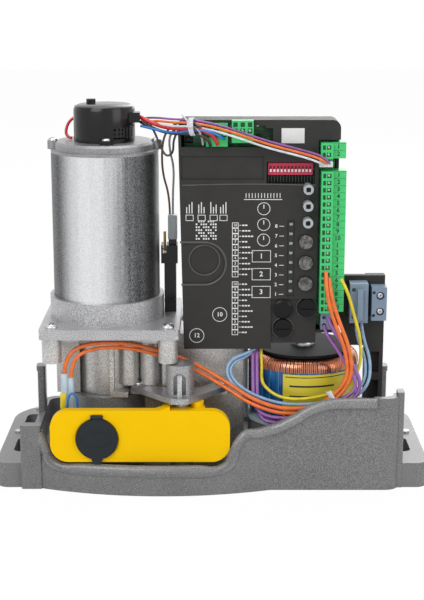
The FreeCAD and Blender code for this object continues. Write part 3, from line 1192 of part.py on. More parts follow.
routes = [
    [(-51, -28, 264.1), (-41, -32, 259), (-26, -42, 257), (-10, -51, 259), (2, -53, 254), (4, -48.2, 247)],
    [(-106, -63, 84.7), (-105, -62.6, 95), (-96, -61, 104), (-78, -58.5, 106.5), (-60, -56.8, 105),
     (-43, -54, 100.5), (-27, -48.8, 94), (-10, -47, 83), (10, -54, 69), (31, -63, 56), (54, -66, 51),
     (80, -62, 58), (99, -60, 80), (98, -58, 112), (88, -55, 140), (83.5, -48.6, 157)],
]
wires = [tube(route, S.wire_radius) for route in routes]
node(shaped("wire_set", Part.Compound(wires)), "wiring")
sleeves = [cylinder(2.6, 35, -106, -63, 49.5), cylinder(2.3, 32, -101.2, -63, 49.5)]
node(shaped("sleeve_set", Part.Compound(sleeves)), "wire_sleeves")

doc.recompute()

faults = [obj.Name for obj in doc.Objects if "Invalid" in obj.State or "Error" in obj.State]
if faults:
    raise RuntimeError("objects not computed: " + ", ".join(faults))
for obj in NODES:
    if obj.Shape.isNull() or not obj.Shape.isValid():
        raise RuntimeError("shape not valid: " + obj.Label)
    if not obj.Shape.Solids:
        raise RuntimeError("no solid in: " + obj.Label)

os.makedirs("parts", exist_ok=True)
for obj in NODES:
    obj.Shape.exportStep(os.path.join("parts", obj.Label + ".step"))
    size = obj.Shape.BoundBox
    print("%-22s solids %2d  x %.1f..%.1f  y %.1f..%.1f  z %.1f..%.1f" % (
        obj.Label, len(obj.Shape.Solids), size.XMin, size.XMax, size.YMin, size.YMax, size.ZMin, size.ZMax))
print("nodes", len(NODES))
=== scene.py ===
import logging
import math
from dataclasses import dataclass, field
from enum import Enum

import bmesh
import bpy
from mathutils import Matrix, Vector


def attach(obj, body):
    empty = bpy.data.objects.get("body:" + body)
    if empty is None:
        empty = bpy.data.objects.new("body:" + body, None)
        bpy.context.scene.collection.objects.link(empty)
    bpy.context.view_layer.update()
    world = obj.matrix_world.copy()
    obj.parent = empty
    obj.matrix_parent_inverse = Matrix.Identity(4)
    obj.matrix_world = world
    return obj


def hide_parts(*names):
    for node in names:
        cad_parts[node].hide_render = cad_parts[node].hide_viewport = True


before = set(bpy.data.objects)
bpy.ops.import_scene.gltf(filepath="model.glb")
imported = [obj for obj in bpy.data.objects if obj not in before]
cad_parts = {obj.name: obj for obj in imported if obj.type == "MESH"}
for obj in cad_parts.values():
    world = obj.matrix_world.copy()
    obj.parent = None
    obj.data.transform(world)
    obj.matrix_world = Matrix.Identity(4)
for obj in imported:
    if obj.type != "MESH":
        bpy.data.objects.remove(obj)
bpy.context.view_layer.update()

MM = 0.001
Point = tuple[float, float, float]
Tone = tuple[float, float, float]
log = logging.getLogger("gate_motor")
logging.basicConfig(level=logging.INFO, format="%(message)s")


class Body(Enum):
    """The bodies that a piece of this script rides on."""

    FRAME = "frame"
    LOCK_LID = "lock_lid"
    TRIMMER_1 = "trim_1"
    TRIMMER_2 = "trim_2"
    TRIMMER_3 = "trim_3"


class Drive(Enum):
    """The recess in a screw's head."""

    SLOT = False
    CROSS = True


def tone(red: int, green: int, blue: int) -> Tone:
    """A colour given in display values from 0 to 255, as the linear values that a shader takes.

    Args:
        red: The red share.
        green: The green share.
        blue: The blue share.

    Returns:
        Three linear values from 0 to 1.
    """
    made = []
    for part in (red, green, blue):
        share = part / 255
        made.append(share / 12.92 if share <= 0.04045 else ((share + 0.055) / 1.055) ** 2.4)
    return made[0], made[1], made[2]


def metres(point: Point) -> Vector:
    """A point in millimetres as a vector in metres."""
    return Vector(point) * MM


# Sums on sockets.


@dataclass(frozen=True)
class Value:
    """An output socket that takes part in sums."""

    graph: "Graph"
    socket: bpy.types.NodeSocket

    def _sum(self, operation: str, first: "Value | float", second: "Value | float | None" = None) -> "Value":
        """One Math node.

        Args:
            operation: The node's operation.
            first: The first number or socket.
            second: The second number or socket, if the operation has one.

        Returns:
            The node's output.
        """
        inputs = {0: first} if second is None else {0: first, 1: second}
        return self.graph.node("ShaderNodeMath", {"operation": operation}, inputs)

    def __add__(self, other: "Value | float") -> "Value":
        """The sum."""
        return self._sum("ADD", self, other)

    __radd__ = __add__

    def __sub__(self, other: "Value | float") -> "Value":
        """The difference."""
        return self._sum("SUBTRACT", self, other)

    def __rsub__(self, other: float) -> "Value":
        """The difference from a number."""
        return self._sum("SUBTRACT", other, self)

    def __mul__(self, other: "Value | float") -> "Value":
        """The product."""
        return self._sum("MULTIPLY", self, other)

    __rmul__ = __mul__

    def __truediv__(self, other: "Value | float") -> "Value":
        """The quotient."""
        return self._sum("DIVIDE", self, other)

    def __rtruediv__(self, other: float) -> "Value":
        """A number over this value."""
        return self._sum("DIVIDE", other, self)

    def fract(self) -> "Value":
        """The part after the point."""
        return self._sum("FRACT", self)

    def sine(self) -> "Value":
        """The sine."""
        return self._sum("SINE", self)

    def larger(self, other: "Value | float") -> "Value":
        """The larger of two."""
        return self._sum("MAXIMUM", self, other)

    def ramp(self, low: float, high: float) -> "Value":
        """A smooth rise from 0 to 1.

        Args:
            low: Where the rise starts.
            high: Where it ends.

        Returns:
            The eased value.
        """
        return self.graph.node("ShaderNodeMapRange", {"interpolation_type": "SMOOTHSTEP"},
                               {"Value": self, "From Min": low, "From Max": high,
                                "To Min": 0.0, "To Max": 1.0})


class Graph:
    """A node tree in the making."""

    def __init__(self, tree: bpy.types.NodeTree) -> None:
        """Keeps the tree that the nodes go into."""
        self.tree = tree

    def node(self, kind: str, settings: dict | None = None, inputs: dict | None = None,
             out: int | str = 0) -> Value:
        """Adds one node.

        Args:
            kind: The node's type.
            settings: Its properties, set first.
            inputs: The value or link of each socket, by name or number.
            out: Which output is wanted.

        Returns:
            That output.
        """
        made = self.tree.nodes.new(kind)
        for key, value in (settings or {}).items():
            setattr(made, key, value)
        for key, value in (inputs or {}).items():
            if isinstance(value, Value):
                self.tree.links.new(value.socket, made.inputs[key])
            else:
                made.inputs[key].default_value = value
        return Value(self, made.outputs[out])

    def place(self) -> Value:
        """Object coordinates, in metres."""
        return self.node("ShaderNodeTexCoord", out="Object")

    def axis(self, which: str) -> Value:
        """One of the object coordinates, X, Y or Z."""
        return self.node("ShaderNodeSeparateXYZ", inputs={0: self.place()}, out=which)

    def noise(self, grain: float, detail: float = 2.0, rough: float = 0.5,
              stretch: Point = (1, 1, 1)) -> Value:
        """Noise whose grains have a size.

        Args:
            grain: The grain size in millimetres.
            detail: How many finer layers there are.
            rough: The share of the finer layers.
            stretch: How much denser it is along each axis.

        Returns:
            The noise, about 0.5 in the mean.
        """
        spread = self.node("ShaderNodeMapping", {}, {"Vector": self.place(), "Scale": stretch})
        return self.node("ShaderNodeTexNoise", {},
                         {"Vector": spread, "Scale": 1000 / grain, "Detail": detail, "Roughness": rough})

    def blend(self, share: Value | float, first: Value | Tone, second: Value | Tone) -> Value:
        """A mix of two colours.

        Args:
            share: How much of the second there is.
            first: The first colour.
            second: The second colour.

        Returns:
            The mixed colour.
        """
        ends = [c if isinstance(c, Value) else (*c, 1.0) for c in (first, second)]
        return self.node("ShaderNodeMix", {"data_type": "RGBA"}, {0: share, 6: ends[0], 7: ends[1]}, out=2)

    def relief(self, height: Value, depth: float) -> Value:
        """A normal that follows a height.

        Args:
            height: The height, from 0 to 1.
            depth: How deep it is in millimetres.

        Returns:
            The normal.
        """
        return self.node("ShaderNodeBump", {}, {"Strength": 1.0, "Distance": depth * MM, "Height": height})


# Finishes.


@dataclass(frozen=True)
class Finish:
    """A finish by its name. Each kind of finish says how its nodes are put together."""

    name: str

    def shade(self, graph: Graph) -> Value:
        """The shader of this finish.

        Args:
            graph: The material's tree.

        Returns:
            The shader.
        """
        raise NotImplementedError

    def material(self) -> bpy.types.Material:
        """The material, made once.

        Returns:
            The material named after this finish.
        """
        name = self.name + "_finish"
        found = bpy.data.materials.get(name)
        if found:
            return found
        made = bpy.data.materials.new(name)
        made.use_nodes = True
        made.node_tree.nodes.clear()
        graph = Graph(made.node_tree)
        end = made.node_tree.nodes.new("ShaderNodeOutputMaterial")
        made.node_tree.links.new(self.shade(graph).socket, end.inputs["Surface"])
        return made


@dataclass(frozen=True)
class Cast(Finish):
    """Cast or painted metal with a fine grain."""

    light: Tone = (0.3, 0.3, 0.3)
    dark: Tone = (0.1, 0.1, 0.1)
    grain: float = 0.9
    depth: float = 0.12
    metallic: float = 0.0
    rough: float = 0.55
    patch: float = 24.0
    specular: float = 0.35

    def shade(self, graph: Graph) -> Value:
        """Speckle over wide, weak patches, with the same speckle as relief.

        Args:
            graph: The material's tree.

        Returns:
            The shader.
        """
        fine = graph.noise(self.grain, 3.0, 0.6)
        wide = graph.noise(self.patch, 2.0)
        mask = fine.ramp(0.34, 0.68) * 0.7 + wide * 0.3
        return graph.node("ShaderNodeBsdfPrincipled", {}, {
            "Base Color": graph.blend(mask, self.dark, self.light),
            "Metallic": self.metallic,
            "Specular IOR Level": self.specular,
            "Roughness": wide * 0.18 + (self.rough - 0.09),
            "Normal": graph.relief(fine, self.depth)})


@dataclass(frozen=True)
class Spangle(Finish):
    """Zinc-coated steel sheet with soft crystals, fine draw marks and painted reflection bands round its
    axis.
    """

    light: Tone = (0.7, 0.7, 0.71)
    dark: Tone = (0.42, 0.43, 0.44)
    crystal: float = 1.5
    axis_x: float = -77.2
    axis_y: float = -21.0
    reflection_count: float = 3.0
    reflection_phase: float = 3.27

    def shade(self, graph: Graph) -> Value:
        """Small crystals of several greys and fine streaks, over wide bands round the axis that are painted
        highlight and painted shade.

        Args:
            graph: The material's tree.

        Returns:
            The shader.
        """
        cell = graph.node("ShaderNodeTexVoronoi", {"feature": "F1"},
                          {"Vector": graph.place(), "Scale": 1000 / self.crystal, "Randomness": 1.0},
                          out="Color")
        grey = graph.node("ShaderNodeSeparateColor", {}, {0: cell})
        speck = graph.noise(0.8, 3.0, 0.7)
        streaks = graph.noise(13.0, 4.0, 0.62, (1, 1, 0.03))
        lines = graph.noise(1.1, 3.0, 0.65, (1, 1, 0.06))
        across = graph.axis("X") - self.axis_x * MM
        along = graph.axis("Y") - self.axis_y * MM
        turn = graph.node("ShaderNodeMath", {"operation": "ARCTAN2"}, {0: along, 1: across})
        # painted reflection: light and dark bands round the shell's axis, a painted highlight and painted
        # shade
        painted_reflection = (turn * self.reflection_count + self.reflection_phase + streaks * 1.2).sine() * 0.5 + 0.5
        grains = grey * 0.06 + speck.ramp(0.38, 0.62) * 0.16 + streaks.ramp(0.36, 0.62) * 0.1 + lines * 0.06
        mask = grains + painted_reflection.ramp(0.0, 0.9) * 0.74
        return graph.node("ShaderNodeBsdfPrincipled", {}, {
            "Base Color": graph.blend(mask, self.light, self.dark),
            "Metallic": 1.0,
            "Roughness": mask * 0.2 + 0.26,
            "Normal": graph.relief(speck * 0.6 + lines * 0.4, 0.035)})


@dataclass(frozen=True)
class Turned(Finish):
    """Machined or ground metal with fine marks."""

    base: Tone = (0.6, 0.6, 0.6)
    rough: float = 0.28
    stretch: Point = (1, 1, 6)

    def shade(self, graph: Graph) -> Value:
        """Fine marks across the axis and a weak cloud.

        Args:
            graph: The material's tree.

        Returns:
            The shader.
        """
        marks = graph.noise(0.6, 3.0, 0.6, self.stretch)
        cloud = graph.noise(9.0)
        worn = (self.base[0] * 0.62, self.base[1] * 0.62, self.base[2] * 0.62)
        return graph.node("ShaderNodeBsdfPrincipled", {}, {
            "Base Color": graph.blend(marks * 0.6 + cloud * 0.4, self.base, worn),
            "Metallic": 1.0,
            "Roughness": marks * 0.2 + (self.rough - 0.05),
            "Normal": graph.relief(marks, 0.015)})


@dataclass(frozen=True)
class Moulded(Finish):
    """Moulded plastic or rubber with a fine grain."""

    base: Tone = (0.2, 0.2, 0.2)
    rough: float = 0.4
    grain: float = 0.35
    depth: float = 0.02
    coat: float = 0.0
    change: float = 0.12
    specular: float = 0.3

    def shade(self, graph: Graph) -> Value:
        """A weak cloud in the colour and a grained surface.

        Args:
            graph: The material's tree.

        Returns:
            The shader.
        """
        fine = graph.noise(self.grain, 2.0)
        cloud = graph.noise(16.0, 3.0)
        deep = tuple(c * (1 - self.change) ** 2 for c in self.base)
        pale = tuple(min(1.0, c * (1 + self.change) + 0.004) for c in self.base)
        return graph.node("ShaderNodeBsdfPrincipled", {}, {
            "Base Color": graph.blend(cloud * 0.7 + fine * 0.3, deep, pale),
            "Roughness": fine * 0.12 + cloud * 0.1 + (self.rough - 0.11),
            "Coat Weight": self.coat,
            "Coat Roughness": 0.12,
            "Specular IOR Level": self.specular,
            "Normal": graph.relief(fine, self.depth)})


@dataclass(frozen=True)
class Film(Finish):
    """Blue film wound in overlapping strips round the ring, with the windings' ribs under it."""

    centre: tuple[float, float] = (68.7, -10.0)
    base: Tone = (0.003, 0.16, 0.5)
    strips: float = 34.0

    def shade(self, graph: Graph) -> Value:
        """Strip edges and wire ribs by the angle round the ring's axis, with painted highlight along the
        strip edges and painted light and shade along the pleats.

        Args:
            graph: The material's tree.

        Returns:
            The shader.
        """
        across = graph.axis("X") - self.centre[0] * MM
        along = graph.axis("Y") - self.centre[1] * MM
        turn = graph.node("ShaderNodeMath", {"operation": "ARCTAN2"}, {0: along, 1: across}) / math.tau
        wander = graph.noise(8.0) * 0.012
        strip = ((turn + wander) * self.strips).fract()
        ribs = (turn * math.tau * 150).sine() * 0.5 + 0.5
        edge = strip.ramp(0.86, 0.98)
        crease = graph.noise(1.4, 4.0, 0.65, (1, 1, 0.2))
        # the body runs from deep to the film's blue across each strip and along the pleats, painted shade and
        # light; strip edges and ribs lean to pale, a painted highlight
        deep = tuple(c * 0.35 for c in self.base)
        pale = (0.16, 0.42, 0.7)
        pleat_light_and_shade = graph.noise(2.6, 3.0, 0.6, (1, 1, 0.12)).ramp(0.42, 0.62)
        body = graph.blend(strip * 0.4 + pleat_light_and_shade * 0.6, deep, self.base)
        return graph.node("ShaderNodeBsdfPrincipled", {}, {
            "Base Color": graph.blend(edge * 0.5 + ribs * 0.08, body, pale),
            "Roughness": crease * 0.22 + 0.06,
            "Coat Weight": 0.4,
            "Coat Roughness": 0.05,
            "Specular IOR Level": 0.3,
            "Normal": graph.relief(strip * 0.7 + ribs * 0.16 + pleat_light_and_shade * 0.6, 0.4)})


@dataclass(frozen=True)
class Sheath(Finish):
    """Cable insulation, a little uneven in colour and gloss."""

    base: Tone = (0.5, 0.5, 0.5)

    def shade(self, graph: Graph) -> Value:
        """A cloud along the wire with a soft gloss.

        Args:
            graph: The material's tree.

        Returns:
            The shader.
        """
        cloud = graph.noise(5.0, 3.0)
        deep = tuple(c * 0.78 for c in self.base)
        return graph.node("ShaderNodeBsdfPrincipled", {}, {
            "Base Color": graph.blend(cloud.ramp(0.3, 0.7), deep, self.base),
            "Roughness": cloud * 0.2 + 0.28,
            "Coat Weight": 0.25,
            "Coat Roughness": 0.2,
            "Normal": graph.relief(graph.noise(0.8), 0.03)})


@dataclass(frozen=True)
class Laminate(Finish):
    """The circuit board's green lacquer over copper tracks."""

    def shade(self, graph: Graph) -> Value:
        """Tracks as a squared pattern of two greens.

        Args:
            graph: The material's tree.

        Returns:
            The shader.
        """
        cells = graph.node("ShaderNodeTexVoronoi", {"distance": "CHEBYCHEV"},
                           {"Vector": graph.place(), "Scale": 320.0, "Randomness": 0.85}, out="Distance")
        track = cells.ramp(0.42, 0.5)
        return graph.node("ShaderNodeBsdfPrincipled", {}, {
            "Base Color": graph.blend(track, tone(16, 92, 52), tone(38, 140, 78)),
            "Roughness": graph.noise(2.0) * 0.2 + 0.25,
            "Normal": graph.relief(track, 0.03)})


@dataclass(frozen=True)
class Clear(Finish):
    """A translucent plastic sleeve."""

    base: Tone = (0.6, 0.8, 0.95)
    alpha: float = 0.6

    def shade(self, graph: Graph) -> Value:
        """A pale body that is a little clearer in streaks.

        Args:
            graph: The material's tree.

        Returns:
            The shader.
        """
        streak = graph.noise(3.0, 2.0, 0.5, (1, 1, 0.2))
        white = (0.86, 0.93, 0.97)
        return graph.node("ShaderNodeBsdfPrincipled", {}, {
            "Base Color": graph.blend(streak, self.base, white),
            "Roughness": streak * 0.1 + 0.16,
            "Alpha": streak * 0.25 + (self.alpha - 0.1)})


PAINT = Cast("hammer_paint", tone(148, 148, 149), tone(64, 65, 67), 0.6, 0.09, 0.0, 0.3, 40.0, 0.65)
# the rim bead's paint is the hammer paint made lighter, a painted highlight
BEAD_HIGHLIGHT = Cast("bead_paint_highlight", tone(164, 164, 165), tone(74, 75, 77), 0.6, 0.09, 0.0, 0.26, 40.0, 0.7)
CAST_ALU = Cast("raw_aluminium", tone(236, 235, 233), tone(134, 133, 131), 0.65, 0.09, 0.7, 0.38, 22.0)
CAST_FINE = Cast("sand_cast_aluminium", tone(226, 226, 228), tone(116, 116, 118), 0.65, 0.07, 0.6, 0.38, 18.0)
CAST_CAP = Cast("end_cap_casting", tone(178, 178, 180), tone(112, 112, 114), 0.6, 0.06, 0.6, 0.36, 14.0)
CAST_DARK = Cast("bracket_casting", tone(208, 208, 209), tone(112, 112, 113), 0.6, 0.1, 0.7, 0.38, 12.0)
# the shell's wide light and dark tones carry its painted highlight and painted shade bands
SHELL = Spangle("galvanised_shell", tone(240, 241, 243), tone(56, 57, 59), 1.2)
ZINC = Turned("zinc_screw", tone(208, 209, 212), 0.25)
STEEL = Turned("ground_steel", tone(178, 180, 184), 0.22)
BRONZE = Turned("wheel_bronze", tone(196, 150, 84), 0.34, (6, 1, 1))
BRASS = Turned("lever_brass", tone(206, 176, 106), 0.3)
COPPER = Turned("winding_copper", tone(212, 146, 114), 0.17, (1, 1, 1))
MAGNET = Cast("ferrite", tone(78, 78, 80), tone(44, 44, 46), 0.5, 0.05, 0.0, 0.6)
STACK = Turned("rotor_stack", tone(120, 116, 112), 0.4, (1, 1, 14))
BLACK = Moulded("black_gloss_plastic", tone(14, 14, 15), 0.2, 0.5, 0.01, 0.15, 0.12, 0.25)
YELLOW = Moulded("yellow_plastic", tone(255, 203, 0), 0.42, 0.3, 0.012, 0.0, 0.02, 0.05)
RUBBER = Moulded("lid_rubber", tone(36, 42, 46), 0.5, 0.3, 0.015, 0.0, 0.12, 0.2)
CASE = Moulded("case_plastic", tone(57, 56, 55), 0.46, 0.4, 0.03, 0.0, 0.12, 0.14)
SEAL = Moulded("seal_rubber", tone(40, 40, 42), 0.6)
PAD = Moulded("pad_rubber", tone(16, 17, 18), 0.6, 0.8, 0.03, 0.0, 0.12, 0.1)
PALE_PAD = Moulded("pad_foam", tone(196, 222, 228), 0.5, 1.0, 0.04)
RED_SWITCH = Moulded("switch_red", tone(206, 62, 92), 0.35)
WHITE = Moulded("white_plastic", tone(228, 228, 226), 0.35, 0.5, 0.01)
KNOB = Moulded("knob_grey", tone(176, 182, 186), 0.3, 0.4, 0.01, 0.3)
# the pale patches on the smoky buttons are painted sheen and painted highlight
SMOKE_SHEEN = Cast("smoky_button_sheen", tone(126, 125, 123), tone(42, 41, 40), 3.0, 0.5, 0.0, 0.2, 6.0, 0.5)
CAP = Moulded("cap_plastic", tone(10, 10, 11), 0.24, 0.4, 0.01, 0.0, 0.12, 0.2)
# a lighter grey for the case's raised edges and collars, a painted highlight
CASE_HIGHLIGHT = Moulded("case_edge_highlight", tone(88, 87, 86), 0.3, 0.4, 0.02, 0.0, 0.12, 0.3)
GREEN = Moulded("terminal_green", tone(72, 206, 120), 0.32, 0.5, 0.015, 0.1, 0.1)
# a dark green for the terminals' wire mouths, painted shade where the holes are
MOUTH_SHADE = Moulded("terminal_mouth_shade", tone(20, 74, 46), 0.5)
BLUE_GREY = Moulded("terminal_blue_grey", tone(128, 146, 166), 0.38)
LABEL = Moulded("label_yellow", tone(222, 206, 60), 0.35, 0.4, 0.01, 0.2, 0.05)
INK = Moulded("print_white", tone(236, 236, 236), 0.5, 0.4, 0.004)
INK_DARK = Moulded("print_dark", tone(40, 44, 48), 0.5, 0.4, 0.004)
TIE = Moulded("tie_nylon", tone(222, 226, 232), 0.35, 0.5, 0.01)
LAMP = Moulded("lamp_lens", tone(150, 160, 158), 0.2, 0.5, 0.01, 0.5)
FILM = Film("winding_film")
BOARD = Laminate("board_lacquer")
SLEEVE = Clear("clear_sleeve", tone(176, 206, 230), 0.72)
ORANGE = Sheath("wire_orange", tone(244, 120, 40))
PURPLE = Sheath("wire_purple", tone(150, 92, 172))
PALE_BLUE = Sheath("wire_pale_blue", tone(150, 186, 220))
YELLOW_WIRE = Sheath("wire_yellow", tone(240, 220, 40))
RED_WIRE = Sheath("wire_red", tone(206, 34, 34))
BLACK_WIRE = Sheath("wire_black", tone(42, 42, 44))
BROWN_WIRE = Sheath("wire_brown", tone(122, 84, 60))
GREY_WIRE = Sheath("wire_grey", tone(172, 172, 172))
BLUE_WIRE = Sheath("wire_blue", tone(36, 120, 206))
WHITE_WIRE = Sheath("wire_white", tone(226, 230, 236))

CAD_FINISH: dict[str, Finish] = {
    "base_casting": PAINT, "levelling_screws": ZINC, "motor_flange": CAST_FINE, "motor_shell": SHELL,
    "stator_magnets": MAGNET, "motor_end_cap": CAST_CAP, "encoder_cover": BLACK, "ball_bearings": STEEL,
    "shaft_seal": SEAL, "gearbox_cover": CAST_ALU, "gearbox_housing": CAST_ALU,
    "release_bracket": CAST_DARK, "release_switch": BLACK, "board_tray": CASE, "circuit_board": BOARD,
    "board_cover": CASE, "dip_switch": RED_SWITCH, "terminal_strips": GREEN, "terminal_support": CASE,
    "power_terminals": BLUE_GREY, "transformer": FILM, "transformer_base_pad": PALE_PAD,
    "transformer_top_pad": PAD, "limit_switch": BLACK, "machine_screws": ZINC, "wiring": ORANGE,
    "wire_sleeves": SLEEVE, "output_shaft": STEEL, "worm_wheel": BRONZE, "drive_pinion": STEEL,
    "pinion_fixings": ZINC, "rotor_shaft": STEEL, "rotor_core": STACK, "encoder_disc": WHITE,
    "release_handle": YELLOW, "lock_cylinder": BRASS, "lock_cover": RUBBER, "release_pin": STEEL,
    "switch_plunger": WHITE, "limit_switch_lever": BRASS,
}


def finish_of(node: str) -> Finish:
    """The finish of a CAD node.

    Args:
        node: The node's name.

    Returns:
        Its finish, by its own name or by the family that it belongs to.
    """
    families = {"dip_lever": WHITE, "trimmer": KNOB, "push_button": SMOKE_SHEEN, "fuse_cap": CAP}
    if node in CAD_FINISH:
        return CAD_FINISH[node]
    for start, finish in families.items():
        if node.startswith(start):
            return finish
    raise ValueError("no finish is given for " + node)


# Meshes in millimetres.


def settle(obj: bpy.types.Object, finish: Finish, body: Body,
           angle: float = 32.0) -> bpy.types.Object:
    """Gives a finished mesh its material, its shading and the body it rides on.

    Args:
        obj: The object, at the origin.
        finish: Its finish.
        body: The body it rides on.
        angle: Edges sharper than this many degrees stay sharp.

    Returns:
        The object.
    """
    obj.data.materials.clear()
    obj.data.materials.append(finish.material())
    obj.data.shade_smooth()
    obj.data.set_sharp_from_angle(angle=math.radians(angle))
    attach(obj, body.value)
    log.info("piece %s, %d faces, on %s", obj.name, len(obj.data.polygons), body.value)
    return obj


def hoop(middle: Point, across: float, up: float, steps: int) -> list[Vector]:
    """Points round an oval that faces forward.

    Args:
        middle: Its middle.
        across: Half of its width.
        up: Half of its height.
        steps: How many points it has.

    Returns:
        The points.
    """
    turns = [math.tau * k / steps for k in range(steps)]
    x, y, z = middle
    return [Vector((x + across * math.cos(turn), y, z + up * math.sin(turn))) for turn in turns]


class Form:
    """A mesh in the making, in millimetres."""

    def __init__(self) -> None:
        """Starts empty."""
        self.mesh = bmesh.new()

    def block(self, low: Point, high: Point, round_by: float = 0.0) -> "Form":
        """A box with rounded edges.

        Args:
            low: Its lowest corner.
            high: Its highest corner.
            round_by: The edges' rounding.

        Returns:
            This form.
        """
        size = Vector(high) - Vector(low)
        middle = (Vector(high) + Vector(low)) / 2
        made = bmesh.ops.create_cube(self.mesh, size=1.0,
                                     matrix=Matrix.Translation(middle) @ Matrix.Diagonal((*size, 1.0)))
        if round_by:
            edges = {e for v in made["verts"] for e in v.link_edges}
            bmesh.ops.bevel(self.mesh, geom=list(edges), offset=round_by, segments=2, profile=0.5,
                            affect="EDGES")
        return self

    def rings(self, loops: list[list[Vector]], closed: bool = True, caps: bool = True) -> "Form":
        """Faces between loops of points that have the same count.

        Args:
            loops: The loops in order.
            closed: Whether each loop goes round.
            caps: Whether the first and the last loop are closed with a face.

        Returns:
            This form.
        """
        rows = [[self.mesh.verts.new(p) for p in loop] for loop in loops]
        count = len(rows[0])
        for lower, upper in zip(rows, rows[1:]):
            for k in range(count if closed else count - 1):
                n = (k + 1) % count
                self.mesh.faces.new((lower[k], lower[n], upper[n], upper[k]))
        if caps:
            self.mesh.faces.new(list(reversed(rows[0])))
            self.mesh.faces.new(rows[-1])
        return self

    def lathe(self, profile: list[tuple[float, float]], centre: Point, along: str = "Z",
              steps: int = 64) -> "Form":
        """A closed profile turned about an axis.

        Args:
            profile: Radius and height of each corner, round the section.
            centre: A point on the axis, where the height is 0.
            along: The axis, Y or Z.
            steps: How many steps go round.

        Returns:
            This form.
        """
        loops = []
        for k in range(steps):
            turn = math.tau * k / steps
            loop = []
            for radius, height in profile:
                a, b = radius * math.cos(turn), radius * math.sin(turn)
                offset = Vector((a, b, height)) if along == "Z" else Vector((a, height, b))
                loop.append(Vector(centre) + offset)
            loops.append(loop)
        loops.append(loops[0])
        return self.rings(loops, True, False)

    def pipe(self, points: list[Vector], radius: float, sides: int = 10, flat: float = 1.0,
             closed: bool = False) -> "Form":
        """A tube along points.

        Args:
            points: The line's points, in millimetres.
            radius: The tube's radius.
            sides: How many sides it has.
            flat: Its thickness over its width.
            closed: Whether the line is a loop.

        Returns:
            This form.
        """
        loops = []
        count = len(points)
        up = Vector((0, 1, 0))
        for k, point in enumerate(points):
            if closed:
                way = points[(k + 1) % count] - points[k - 1]
            else:
                way = points[min(k + 1, count - 1)] - points[max(k - 1, 0)]
            way.normalize()
            side = way.cross(up)
            if side.length < 0.05:
                side = way.cross(Vector((0, 0, 1)))
            side.normalize()
            up = side.cross(way).normalized()
            loops.append([point + side * (radius * flat * math.cos(math.tau * j / sides))
                          + up * (radius * math.sin(math.tau * j / sides)) for j in range(sides)])
        if closed:
            loops.append(loops[0])
        return self.rings(loops, True, not closed)

    def words(self, text: str, size: float, x: float, y: float, z: float) -> "Form":
        """Figures on a front face, as a thin plate.

        Args:
            text: The figures.
            size: Their height.
            x: Their middle, across.
            y: The depth of their front.
            z: Their middle, up.

        Returns:
            This form.
        """
        curve = bpy.data.curves.new("figures", "FONT")
        curve.body = text
        curve.size = size
        curve.extrude = 0.04
        curve.offset = size * 0.018
        curve.resolution_u = 2
        curve.align_x = "CENTER"
        curve.align_y = "CENTER"
        holder = bpy.data.objects.new("figures", curve)
        bpy.context.scene.collection.objects.link(holder)
        made = bpy.data.meshes.new_from_object(holder.evaluated_get(bpy.context.evaluated_depsgraph_get()))
        made.transform(Matrix.Translation((x, y, z)) @ Matrix.Rotation(math.pi / 2, 4, "X"))
        self.mesh.from_mesh(made)
        bpy.data.objects.remove(holder)
        bpy.data.meshes.remove(made)
        return self

    def piece(self, name: str, finish: Finish, body: Body, slot: str | None = None,
              angle: float = 32.0) -> bpy.types.Object:
        """The finished piece in metres, its faces turned outwards.

        Args:
            name: The piece's name.
            finish: Its finish.
            body: The body it rides on.
            slot: Not used.
            angle: Edges sharper than this stay sharp.

        Returns:
            The new object.
        """
        bmesh.ops.remove_doubles(self.mesh, verts=self.mesh.verts, dist=0.002)
        bmesh.ops.recalc_face_normals(self.mesh, faces=self.mesh.faces)
        bmesh.ops.scale(self.mesh, vec=(MM, MM, MM), verts=self.mesh.verts)
        data = bpy.data.meshes.new(name)
        self.mesh.to_mesh(data)
        self.mesh.free()
        obj = bpy.data.objects.new(name, data)
        bpy.context.scene.collection.objects.link(obj)
        return settle(obj, finish, body, angle)


# Geometry node recipes.


